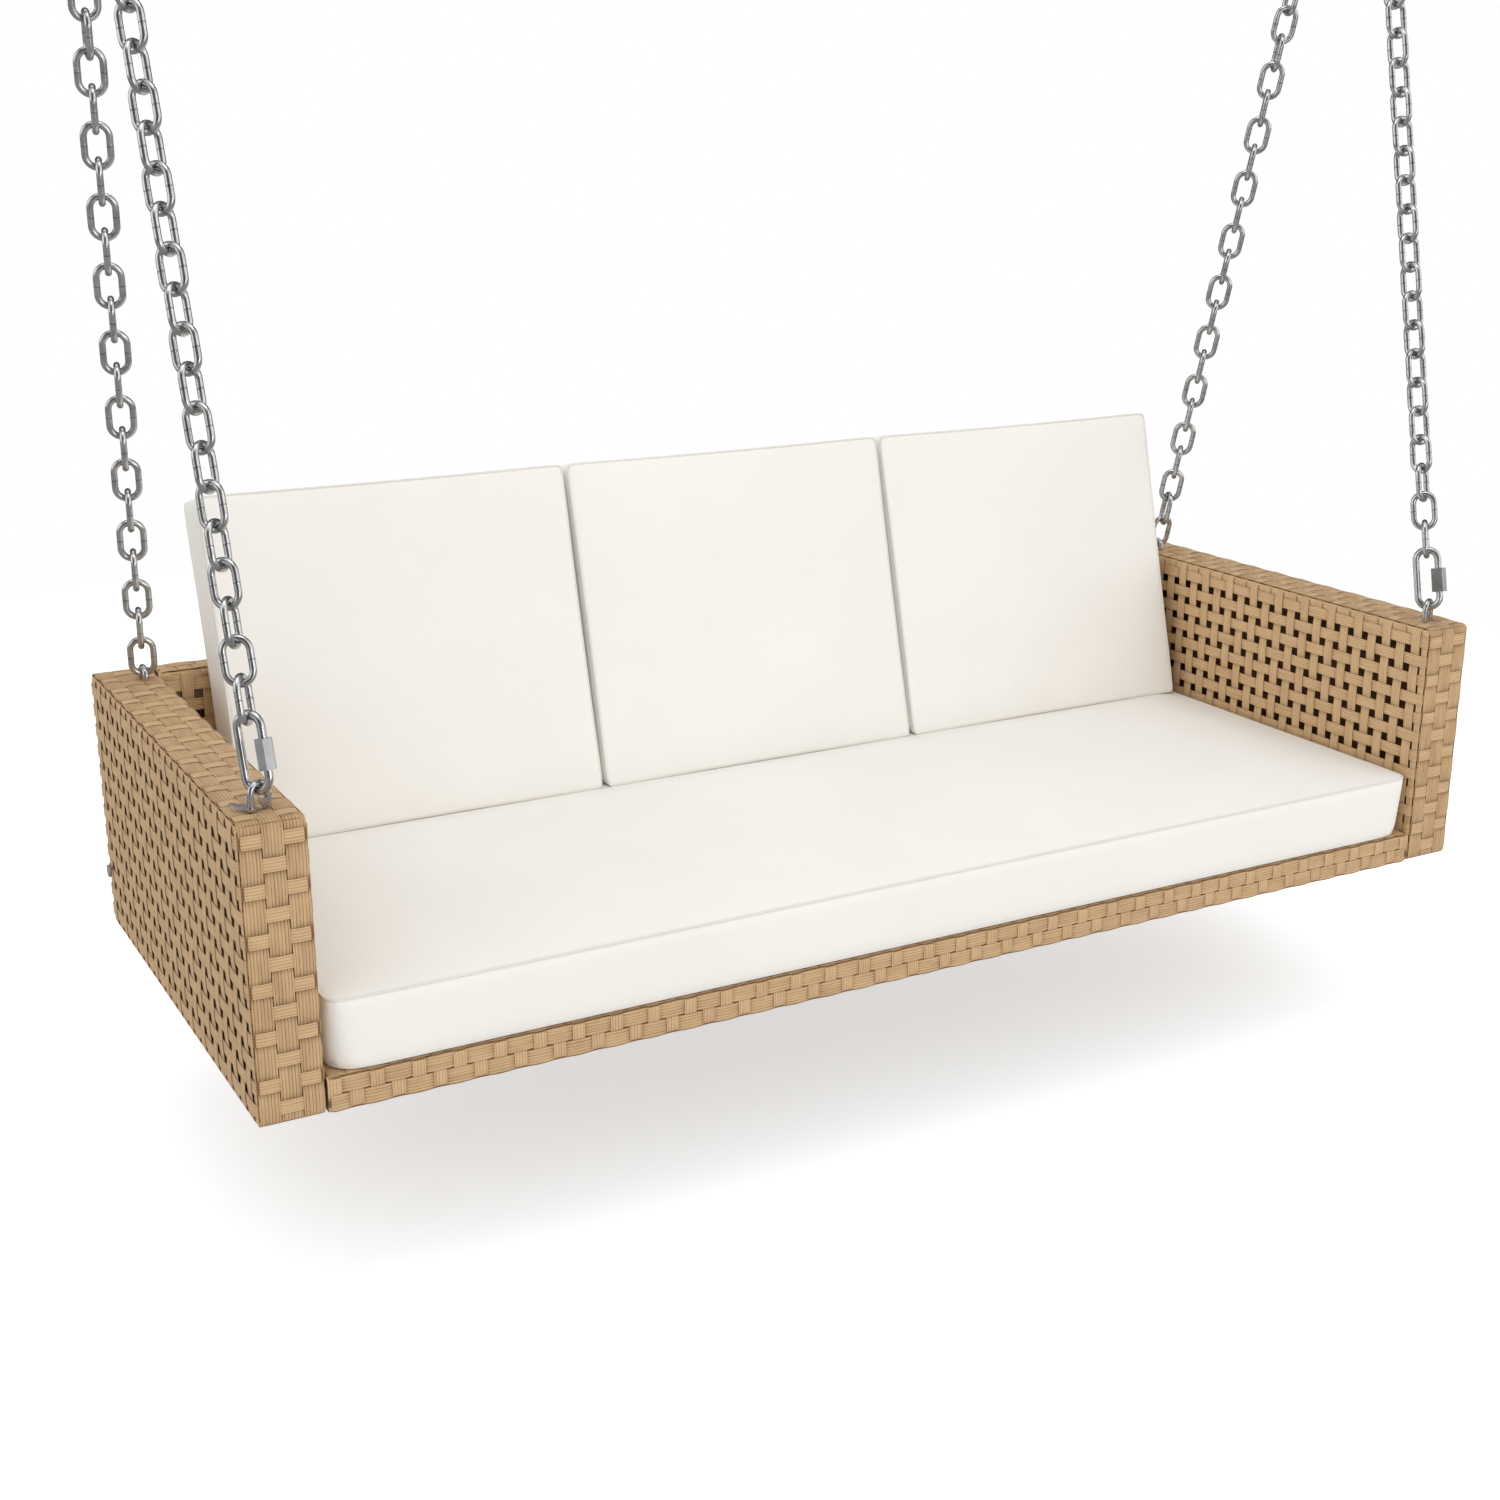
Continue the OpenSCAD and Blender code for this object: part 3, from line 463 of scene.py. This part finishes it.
arm_families = [
    (strand_loops, {
        **ARM_STRAND, "Width": ARM_T, "Height": ARM_H,
        "Strands": UPRIGHTS, "Pitch": STRAND_PITCH, "Strand width": GRILLE_W, "Lay": 1.0,
        "X crossing": ROUND_PITCH, "X shift": 0.0, "Y crossing": STRAND_PITCH, "Y shift": 0.5},
     (QUARTER, 0, 0), ARM_MID),
    (strand_loops, {
        **ARM_STRAND, "Width": ARM_T, "Height": BENCH_D,
        "Strands": LEVELS, "Pitch": STRAND_PITCH, "Strand width": GRILLE_W, "Lay": 1.0,
        "X crossing": ROUND_PITCH, "X shift": 0.0, "Y crossing": STRAND_PITCH, "Y shift": 0.5},
     (0, 0, 0), ARM_MID),
    (strand_loops, {
        **ARM_STRAND, "Width": ARM_H, "Height": BENCH_D,
        "Strands": ARM_ROUND, "Pitch": ROUND_PITCH, "Strand width": ROUND_PITCH - CLOSE, "Lay": -1.0,
        "X crossing": STRAND_PITCH, "X shift": 0.5, "Y crossing": STRAND_PITCH, "Y shift": 0.5},
     (0, QUARTER, 0), ARM_MID),
    # the hidden strands that close the sides along their edges
    (strand_loops, {
        **ARM_STRAND, **BORDER, "Pitch": BENCH_D - 2 * BORDER_IN,
        "Width": ARM_T - 2 * BORDER_INSET, "Height": ARM_H - 2 * BORDER_INSET},
     (QUARTER, 0, 0), ARM_MID),
    (strand_loops, {
        **ARM_STRAND, **BORDER, "Pitch": ARM_H - 2 * BORDER_IN,
        "Width": ARM_T - 2 * BORDER_INSET, "Height": BENCH_D - 2 * BORDER_INSET},
     (0, 0, 0), ARM_MID),
]
for side, name in ((-1, "left"), (1, "right")):
    arm = woven("arm_weave_" + name, arm_families, resin)
    arm.data.transform(Matrix.Translation((side * (BENCH_W - ARM_T) / 2, 0, 0)))
    set_on_bench(arm, "weave", *("arm_weave_%s_%s" % (part, name) for part in (
        "outer", "inner", "top", "front", "rear", "bottom")))

# --- Back -----------------------------------------------------------------------
# The low back between the arms is woven the same way: upright loops over its top
# rail, level loops round its ends, and two lengthwise loops on top and below.

BACK_T = 0.050
BACK_L = BENCH_W - 2 * ARM_T
BACK_UPRIGHTS = 59
BACK_BEND = 0.006
BACK_STEP = 0.0090
BACK_ROUND = (BACK_T - 2 * EDGE_BARE) / 2
BACK_PITCH = (BACK_L - GRILLE_W) / (BACK_UPRIGHTS - 1)
BACK_MID = (0, BENCH_D - BACK_T / 2, ARM_H / 2)
BACK_STRAND = {"Bend": BACK_BEND, "Step": BACK_STEP}
back_weave = woven("back_weave", [
    (strand_loops, {
        **BACK_STRAND, "Width": BACK_T, "Height": ARM_H,
        "Strands": BACK_UPRIGHTS, "Pitch": BACK_PITCH, "Strand width": GRILLE_W, "Lay": 1.0,
        "X crossing": BACK_ROUND, "X shift": 0.5, "Y crossing": STRAND_PITCH, "Y shift": 0.5},
     (QUARTER, 0, QUARTER), BACK_MID),
    (strand_loops, {
        **BACK_STRAND, "Width": BACK_L, "Height": BACK_T,
        "Strands": LEVELS, "Pitch": STRAND_PITCH, "Strand width": GRILLE_W, "Lay": 1.0,
        "X crossing": BACK_PITCH, "X shift": 0.0, "Y crossing": 1.0, "Y shift": 0.5},
     (0, 0, 0), BACK_MID),
    (strand_loops, {
        **BACK_STRAND, "Width": BACK_L, "Height": ARM_H,
        "Strands": 2, "Pitch": BACK_ROUND, "Strand width": BACK_ROUND - CLOSE, "Lay": 1.0,
        "X crossing": BACK_PITCH, "X shift": 0.0, "Y crossing": 1.0, "Y shift": 0.5},
     (QUARTER, 0, 0), BACK_MID),
    (strand_loops, {
        **BACK_STRAND, **BORDER, "Pitch": ARM_H - 2 * BORDER_IN,
        "Width": BACK_L - 2 * BORDER_INSET, "Height": BACK_T - 2 * BORDER_INSET},
     (0, 0, 0), BACK_MID),
], resin)
set_on_bench(back_weave, "weave", "back_weave_front", "back_weave_rear",
             "back_weave_top", "back_weave_bottom")

# --- Apron and deck -------------------------------------------------------------
# The front rail of the seat is wrapped in a closed weave, two strands high. Behind
# it a flat closed weave lies on the cross bars and carries the seat cushion.

SEAT_H = 0.047
APRON_D = 0.050
APRON_UPRIGHTS = 67
APRON_PITCH = (BACK_L - GRILLE_W) / (APRON_UPRIGHTS - 1)
APRON_BEND = 0.0035
APRON_BARE = 0.0015
APRON_ROW = (SEAT_H - 2 * APRON_BARE) / 2
APRON_ROUND = (APRON_D - 2 * APRON_BARE) / 2
APRON_MID = (0, APRON_D / 2, SEAT_H / 2)
APRON_STRAND = {"Bend": APRON_BEND, "Step": STRAND_STEP}
apron = woven("seat_apron", [
    (strand_loops, {
        **APRON_STRAND, "Width": APRON_D, "Height": SEAT_H,
        "Strands": APRON_UPRIGHTS, "Pitch": APRON_PITCH, "Strand width": GRILLE_W, "Lay": 1.0,
        "X crossing": APRON_ROUND, "X shift": 0.5, "Y crossing": APRON_ROW, "Y shift": 0.5},
     (QUARTER, 0, QUARTER), APRON_MID),
    (strand_loops, {
        **APRON_STRAND, "Width": BACK_L, "Height": APRON_D,
        "Strands": 2, "Pitch": APRON_ROW, "Strand width": APRON_ROW - CLOSE, "Lay": -1.0,
        "X crossing": APRON_PITCH, "X shift": 0.0, "Y crossing": 1.0, "Y shift": 0.5},
     (0, 0, 0), APRON_MID),
    (strand_loops, {
        **APRON_STRAND, "Width": BACK_L, "Height": SEAT_H,
        "Strands": 2, "Pitch": APRON_ROUND, "Strand width": APRON_ROUND - CLOSE, "Lay": 1.0,
        "X crossing": APRON_PITCH, "X shift": 0.0, "Y crossing": 1.0, "Y shift": 0.5},
     (QUARTER, 0, 0), APRON_MID),
], resin)
set_on_bench(apron, "weave", "seat_apron_weave")

DECK_D = BENCH_D - BACK_T - APRON_D
DECK_ROWS = 22
DECK_PITCH = DECK_D / DECK_ROWS
DECK_STRAND_W = 0.020
DECK_MID = (0, APRON_D + DECK_D / 2, SEAT_H - STRAND_DEPTH)
deck = woven("seat_deck", [
    (strand_rows, {
        "Length": BACK_L, "Strands": DECK_ROWS, "Pitch": DECK_PITCH,
        "Strand width": DECK_PITCH - CLOSE, "Lay": 1.0,
        "X crossing": BACK_PITCH, "X shift": 0.0},
     (QUARTER, 0, 0), DECK_MID),
    (strand_rows, {
        "Length": DECK_D, "Strands": BACK_UPRIGHTS, "Pitch": BACK_PITCH,
        "Strand width": DECK_STRAND_W, "Lay": 1.0,
        "X crossing": DECK_PITCH, "X shift": 0.5},
     (QUARTER, 0, QUARTER), DECK_MID),
], resin)
set_on_bench(deck, "weave", "seat_deck_weave")

# --- Cushion cloth --------------------------------------------------------------
# Off-white outdoor cloth in a fine plain weave. Each cushion is a foam block in a
# boxed cover, whose two faces are sewn to its wall with a thin corded welt.

THREAD = 0.0012


def cloth_material(name, lean, low, high):
    """Plain cloth whose threads follow a face that leans back from level."""
    made, n = material_named(name)
    place = n.add("ShaderNodeMapping", {}, {
        "Vector": n.add("ShaderNodeTexCoord", out="Object"), "Rotation": (-lean, 0, 0)})
    spot = n.add("ShaderNodeSeparateXYZ", {}, {0: place})
    warp = (spot * (math.pi / THREAD)).sine()
    weft = ((spot.out("Y") + spot.out("Z")) * (math.pi / THREAD)).sine()
    threads = abs(warp) * abs(weft)
    slub = n.add("ShaderNodeTexNoise", {}, {"Vector": place, "Scale": 260.0, "Detail": 2.0}, out="Fac")
    cloud = n.add("ShaderNodeTexNoise", {}, {"Vector": place, "Scale": 5.0, "Detail": 3.0}, out="Fac")
    tone = 0.55 * cloud + 0.25 * slub + 0.20 * threads
    colour = n.add("ShaderNodeValToRGB", {"stops": [(0.25, low), (0.75, high)]}, {"Fac": tone})
    ripple = n.add("ShaderNodeBump", {}, {"Strength": 0.25, "Distance": 0.004, "Height": cloud})
    bump = n.add("ShaderNodeBump", {}, {
        "Strength": 0.30, "Distance": 0.0003, "Height": 0.6 * threads + 0.4 * slub, "Normal": ripple})
    shader = n.add("ShaderNodeBsdfPrincipled", {}, {
        "Base Color": colour, "Roughness": 0.86 + 0.08 * slub, "Normal": bump, "Sheen Weight": 0.08})
    n.add("ShaderNodeOutputMaterial", {}, {"Surface": shader})
    return made


CORNER_STEPS = 8
SIDE_STEPS = 32


def seam_line(length, width, corner_r):
    """Points of a cushion's sewn edge, which has rounded corners."""
    points = []
    for corner in range(4):
        start = corner * QUARTER
        centre = Vector(((1 if corner in (0, 3) else -1) * (length / 2 - corner_r),
                         (1 if corner < 2 else -1) * (width / 2 - corner_r)))
        for i in range(CORNER_STEPS + 1):
            a = start + i * QUARTER / CORNER_STEPS
            points.append(centre + corner_r * Vector((math.cos(a), math.sin(a))))
        run = (length if corner % 2 == 0 else width) - 2 * corner_r
        ahead = Vector((math.cos(start + math.pi), math.sin(start + math.pi)))
        inward = Vector((math.cos(start - QUARTER), math.sin(start - QUARTER)))
        for i in range(1, SIDE_STEPS):
            s = i / SIDE_STEPS
            points.append(centre - corner_r * inward + run * s * ahead)
    return points


FACE_SHARES = (0.12, 0.26, 0.40, 0.54, 0.68, 0.80, 0.90, 0.96)
CROWN_POWER = 3


def crown(x, y, length, width):
    """How far the crown has risen at a place, from 0 on the sewn edge to 1 in the middle."""
    return ((1 - min(abs(2 * x / length), 1) ** (CROWN_POWER * length / width))
            * (1 - min(abs(2 * y / width), 1) ** CROWN_POWER))


def drawn_in(p, size, draw):
    """Pulls the sides in between the corners."""
    across = 2 * p.x / size[0]
    along = 2 * p.y / size[1]
    return Vector((p.x - across * draw * (1 - along ** 2),
                   p.y - along * draw * (1 - across ** 2), p.z))


def cover_shell(name, size, low_edge, edge, rise):
    """A boxed cover lying on its back face, its front face crowned by rise."""
    length, width, thick = size
    rings = [(low_edge, share, 0, 0) for share in FACE_SHARES]
    rings += [(low_edge, 1, 0, 0), (edge, 1, thick, 0)]
    rings += [(edge, share, thick, rise) for share in reversed(FACE_SHARES)]
    bm = bmesh.new()
    made = []
    for ring, share, z, up in rings:
        spots = [(p.x * share, p.y * share) for p in ring]
        made.append([bm.verts.new((x, y, z + up * crown(x, y, length, width))) for x, y in spots])
    count = len(edge)
    for low, high in zip(made, made[1:]):
        for i in range(count):
            k = (i + 1) % count
            bm.faces.new((low[i], low[k], high[k], high[i]))
    bm.faces.new(list(reversed(made[0])))
    bm.faces.new(made[-1])
    bmesh.ops.recalc_face_normals(bm, faces=bm.faces)
    mesh = bpy.data.meshes.new(name)
    bm.to_mesh(mesh)
    bm.free()
    piece = bpy.data.objects.new(name, mesh)
    bpy.context.scene.collection.objects.link(piece)
    return piece


FILL_FRAMES = 20
SEAM_HOLD = 0.009


def settled(piece):
    """Puts what the piece's modifiers make into its mesh and removes them."""
    bpy.context.view_layer.update()
    depsgraph = bpy.context.evaluated_depsgraph_get()
    mesh = bpy.data.meshes.new_from_object(piece.evaluated_get(depsgraph), depsgraph=depsgraph)
    piece.modifiers.clear()
    piece.data = mesh


def on_seam(p, size):
    """True for a point beside one of the two sewn edges."""
    length, width, thick = size
    near_edge = min(length / 2 - abs(p.x), width / 2 - abs(p.y)) < SEAM_HOLD
    return near_edge and min(abs(p.z), abs(p.z - thick)) < SEAM_HOLD


def filled(piece, size, rise, grain, cap):
    """Blows the cover up against its seams, as its foam does, within the cushion's size."""
    length, width, thick = size
    even = piece.modifiers.new("even", "REMESH")
    even.mode = "VOXEL"
    even.voxel_size = grain
    settled(piece)
    start = [v.co.copy() for v in piece.data.vertices]
    held = piece.vertex_groups.new(name="seams")
    held.add([i for i, p in enumerate(start) if on_seam(p, size)], 1.0, "REPLACE")
    cloth = piece.modifiers.new("cloth", "CLOTH")
    cloth.settings.quality = 4
    cloth.settings.mass = 0.3
    cloth.settings.use_pressure = True
    cloth.settings.uniform_pressure_force = 4.0
    cloth.settings.effector_weights.gravity = 0.0
    cloth.settings.vertex_group_mass = "seams"
    cloth.point_cache.frame_start = 1
    cloth.point_cache.frame_end = FILL_FRAMES
    for frame_number in range(1, FILL_FRAMES + 1):
        bpy.context.scene.frame_set(frame_number)
    settled(piece)
    bpy.context.scene.frame_set(1)
    smooth = piece.modifiers.new("smooth", "SMOOTH")
    smooth.factor = 0.5
    smooth.iterations = 4
    settled(piece)
    for v, origin in zip(piece.data.vertices, start):
        move = v.co - origin
        if move.length > cap:
            v.co = origin + move * (cap / move.length)
        v.co.x = min(max(v.co.x, -length / 2), length / 2)
        v.co.y = min(max(v.co.y, -width / 2), width / 2)
        v.co.z = min(max(v.co.z, 0), thick + rise)
    piece.vertex_groups.clear()


# a cord along a closed edge
WELT_R = 0.0019
WELT_SIDES = 8
WELT_EVEN = 2
welt_tree, n, given = tree_named("welt", {
    "Path": "Geometry", "Radius": "Float", "Cloth": "Material"})
path = n.add("GeometryNodeMeshToCurve", {}, {"Mesh": given["Path"]})
section = n.add("GeometryNodeCurvePrimitiveCircle", {}, {
    "Resolution": WELT_SIDES, "Radius": given["Radius"]})
cord = n.add("GeometryNodeCurveToMesh", {}, {"Curve": path, "Profile Curve": section})
n.add("NodeGroupOutput", {}, {0: n.add("GeometryNodeSetMaterial", {}, {
    "Geometry": cord, "Material": given["Cloth"]})})


def welted(name, edges, material, cover, shape):
    """Corded welts along the sewn edges, laid on the cover."""
    points = []
    for edge, z in edges:
        laid = [cover.find_nearest(Vector((p.x, p.y, z)))[0] for p in edge]
        for _ in range(WELT_EVEN):
            laid = [(laid[i - 1] + laid[i] + laid[(i + 1) % len(laid)]) / 3
                    for i in range(len(laid))]
        points += [shape(p) for p in laid]
    count = len(edges[0][0])
    lines = [(k * count + i, k * count + (i + 1) % count)
             for k in range(len(edges)) for i in range(count)]
    path = bpy.data.meshes.new(name + "_path")
    path.from_pydata(points, lines, [])
    tree, n, given = tree_named(name + "_tree", {"Path": "Geometry"})
    n.add("NodeGroupOutput", {}, {0: n.add("GeometryNodeGroup", {"node_tree": welt_tree}, {
        "Path": given["Path"], "Radius": WELT_R, "Cloth": material})})
    return grown(name, tree, path)


def cushion(name, size, rise, corners, draw, grain, cap, lean, shape, place, node):
    """A filled cushion with its welts, carried to its place, for this node."""
    material = cloth_material(
        name + "_cloth", lean, (0.842, 0.818, 0.768), (0.902, 0.880, 0.835))
    # painted shade: the welts get a darker copy of the cloth, for the shade along the sewn creases
    welt_painted_shade_material = cloth_material(
        name + "_welt_cloth", lean, (0.700, 0.678, 0.630), (0.790, 0.768, 0.722))
    low_edge, edge = (seam_line(size[0], size[1], r) for r in corners)
    body = cover_shell(name, size, low_edge, edge, rise - min(cap, rise))
    filled(body, size, rise, grain, cap)
    cover = BVHTree.FromPolygons([v.co.copy() for v in body.data.vertices],
                                 [tuple(f.vertices) for f in body.data.polygons])
    for v in body.data.vertices:
        v.co = place @ shape(drawn_in(v.co, size, draw))
    finer = body.modifiers.new("finer", "SUBSURF")
    finer.levels = finer.render_levels = 1
    settled(body)
    body.data.shade_smooth()
    body.data.materials.append(material)
    set_on_bench(body, "cushion_cover", node)
    welt = welted(name + "_welt", ((low_edge, 0), (edge, size[2])), welt_painted_shade_material, cover,
                  lambda p: shape(drawn_in(p, size, draw)))
    welt.data.transform(place)
    set_on_bench(welt, "cushion_cover")


# --- Seat cushion ---------------------------------------------------------------
# One long cushion lies on the deck between the arms, from the front edge to the
# back. The back cushions press a shallow flat into it.

REST_GAP = 0.0003
SOFT_GAP = 0.0005
SEAT_T = 0.094
SEAT_RISE = 0.014
SEAT_PLAY_D = 0.001
SEAT_PLAY_L = 0.008
SEAT_D = BENCH_D - BACK_T - SEAT_PLAY_D
SEAT_L = BACK_L - SEAT_PLAY_L
BACK_LEAN = math.radians(14.5)
PAD_T = 0.086
PRESSED = 0.0055
PRESS_RAMP = 0.035
PRESS_CLEAR = 1.5
back_y = BENCH_D - BACK_T
under_y = back_y - (ARM_H - SEAT_H - SEAT_T) * math.tan(BACK_LEAN) - PAD_T / math.cos(BACK_LEAN)
pressed_z = SEAT_T + SEAT_RISE * crown(0, under_y - back_y / 2, SEAT_L, SEAT_D) - PRESSED


def pressed_down(p):
    """Flattens the seat cushion's top where the back cushions stand on it."""
    ahead = under_y - back_y / 2 - p.y
    limit = pressed_z + PRESSED * PRESS_CLEAR * min(max(ahead / PRESS_RAMP, 0), 1) ** 2
    return Vector((p.x, p.y, min(p.z, limit))) if ahead < PRESS_RAMP else p


cushion("seat_cushion_cover", (SEAT_L, SEAT_D, SEAT_T), SEAT_RISE,
        corners=(0.046, 0.028), draw=0.001, grain=0.0092, cap=0.010, lean=0.0,
        shape=pressed_down, place=Matrix.Translation((0, back_y / 2, SEAT_H + REST_GAP)),
        node="seat_cushion")

# --- Back cushions --------------------------------------------------------------
# Three cushions stand side by side on the seat cushion and lean on the back's top
# edge. Their undersides are cut level, and the row sits a little to the right.

PAD_RISE = 0.013
PAD_GAP = 0.0022
PRESS_IN = 0.0025
PAD_ROW_PLAY = 0.084
PAD_W = (BACK_L - PAD_ROW_PLAY - 2 * PAD_GAP) / 3
PAD_SHIFT = 0.022
PAD_SHOWN_H = 0.488
PAD_H = PAD_SHOWN_H + (PRESSED + PRESS_IN) / math.cos(BACK_LEAN)
under_z = SEAT_H + REST_GAP + pressed_z - PRESS_IN
rest_h = (ARM_H + PAD_T * math.sin(BACK_LEAN) - under_z) / math.cos(BACK_LEAN)


def levelled(p):
    """Shortens a leaning cushion towards its front so that it stands on a level foot."""
    left = PAD_H - (PAD_T - p.z) * math.tan(BACK_LEAN)
    return Vector((p.x, PAD_H / 2 - (PAD_H / 2 - p.y) * left / PAD_H, p.z))


for place, name in ((-1, "left"), (0, "middle"), (1, "right")):
    stand = (Matrix.Translation((PAD_SHIFT + place * (PAD_W + PAD_GAP),
                                 back_y - SOFT_GAP / math.cos(BACK_LEAN), ARM_H))
             @ Matrix.Rotation(QUARTER - BACK_LEAN, 4, "X")
             @ Matrix.Translation((0, PAD_H / 2 - rest_h, 0)))
    cushion("back_cushion_cover_" + name, (PAD_W, PAD_H, PAD_T), PAD_RISE,
            corners=(0.014, 0.014), draw=0.0020, grain=0.0066, cap=0.009, lean=QUARTER - BACK_LEAN,
            shape=levelled, place=stand, node="back_cushion_" + name)

# --- Steel fittings -------------------------------------------------------------
# Zinc-plated steel: chains of welded links, quick links with sleeve nuts, eyes with
# their nuts, staples and bolts, and the rings, bows and plates at the ceiling.

LINK_PITCH = 0.0435
LINK_L = 0.0608
WELD_W = 0.0016


def zinc_material(name, low, middle, high, rough, weld_line=None):
    """Satin zinc on steel, with a weld mark halfway up the legs of each link of a chain."""
    made, n = material_named(name)
    spot = n.add("ShaderNodeTexCoord", out="Object")
    mottle = n.add("ShaderNodeTexNoise", {}, {"Vector": spot, "Scale": 60.0, "Detail": 3.0}, out="Fac")
    fine = n.add("ShaderNodeTexNoise", {}, {"Vector": spot, "Scale": 500.0, "Detail": 2.0}, out="Fac")
    tone = 0.75 * mottle + 0.25 * fine
    height = 0.3 * mottle + 0.2 * fine
    if weld_line:
        direction, start = weld_line
        reach = n.add("ShaderNodeVectorMath", {"operation": "DOT_PRODUCT"}, {
            0: spot, 1: direction}, out="Value")
        step = (reach - start) / LINK_PITCH
        off = abs(step - n.add("ShaderNodeMath", {"operation": "ROUND"}, {0: step}))
        weld = 1 - (off * (LINK_PITCH / WELD_W)).clamped()
        tone = tone - 0.45 * weld
        height = height + 1.4 * weld
    colour = n.add("ShaderNodeValToRGB", {"stops": [
        (0.15, (low, low, low)), (0.45, (middle, middle, middle)), (0.70, (high, high, high))]},
        {"Fac": tone})
    bump = n.add("ShaderNodeBump", {}, {"Strength": 0.3, "Distance": 0.0003, "Height": height})
    shader = n.add("ShaderNodeBsdfPrincipled", {}, {
        "Base Color": colour, "Metallic": 1.0, "Roughness": rough + 0.14 * mottle, "Normal": bump})
    n.add("ShaderNodeOutputMaterial", {}, {"Surface": shader})
    return made


def dressed(node, material):
    """Gives a CAD piece its finish."""
    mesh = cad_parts[node].data
    mesh.materials.clear()
    mesh.materials.append(material)


zinc = zinc_material("zinc_steel", 0.28, 0.46, 0.58, 0.17)
bright_zinc = zinc_material("bright_zinc_steel", 0.22, 0.34, 0.42, 0.34)
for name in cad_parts:
    if name.startswith("chain_"):
        points = [v.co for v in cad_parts[name].data.vertices]
        top = max(points, key=lambda p: p.z)
        foot = min(points, key=lambda p: p.z)
        direction = (top - foot).normalized()
        start = min(p.dot(direction) for p in points) + LINK_L / 2
        dressed(name, zinc_material(name + "_zinc", 0.26, 0.46, 0.58, 0.17, (direction, start)))
    elif name.startswith("quick_link_sleeve_"):
        dressed(name, bright_zinc)
    elif name.startswith(("ceiling_", "top_ring_", "quick_link_", "front_eye_", "rear_eye_")):
        dressed(name, zinc)
for name in ("eye_nuts", "corner_staples", "frame_bolts"):
    dressed(name, zinc)

# --- Tube frames and boards -----------------------------------------------------
# Aluminium tube, powder coated in the strand's brown, shows only from below and through the weave. A board
# closes the middle of each arm; its dark brown is painted shade for the hollow seen through the holes.


def coated_material(name, low, high, rough):
    """Powder coat with a fine orange-peel surface."""
    made, n = material_named(name)
    spot = n.add("ShaderNodeTexCoord", out="Object")
    peel = n.add("ShaderNodeTexNoise", {}, {"Vector": spot, "Scale": 700.0, "Detail": 2.0}, out="Fac")
    wear = n.add("ShaderNodeTexNoise", {}, {"Vector": spot, "Scale": 14.0, "Detail": 4.0}, out="Fac")
    colour = n.add("ShaderNodeValToRGB", {"stops": [(0.3, low), (0.7, high)]},
                   {"Fac": 0.7 * wear + 0.3 * peel})
    bump = n.add("ShaderNodeBump", {}, {"Strength": 0.35, "Distance": 0.0003, "Height": peel})
    shader = n.add("ShaderNodeBsdfPrincipled", {}, {
        "Base Color": colour, "Roughness": rough + 0.12 * wear, "Normal": bump})
    n.add("ShaderNodeOutputMaterial", {}, {"Surface": shader})
    return made


brown_coat = coated_material("brown_coat", (0.105, 0.062, 0.034), (0.150, 0.092, 0.052), 0.42)
# painted shade: the liner board is coloured dark so the weave's holes read as the shaded hollow inside the
# arm
painted_shade_board = coated_material("painted_shade_board", (0.125, 0.052, 0.016), (0.175, 0.078, 0.027), 0.70)
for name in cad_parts:
    if name.startswith(("arm_top_rail", "arm_bottom_rail", "arm_front_post", "arm_rear_post",
                        "seat_front_rail", "seat_rear_rail", "seat_cross_bars",
                        "back_top_rail", "back_posts")):
        dressed(name, brown_coat)
    elif name.startswith("arm_liner"):
        dressed(name, painted_shade_board)
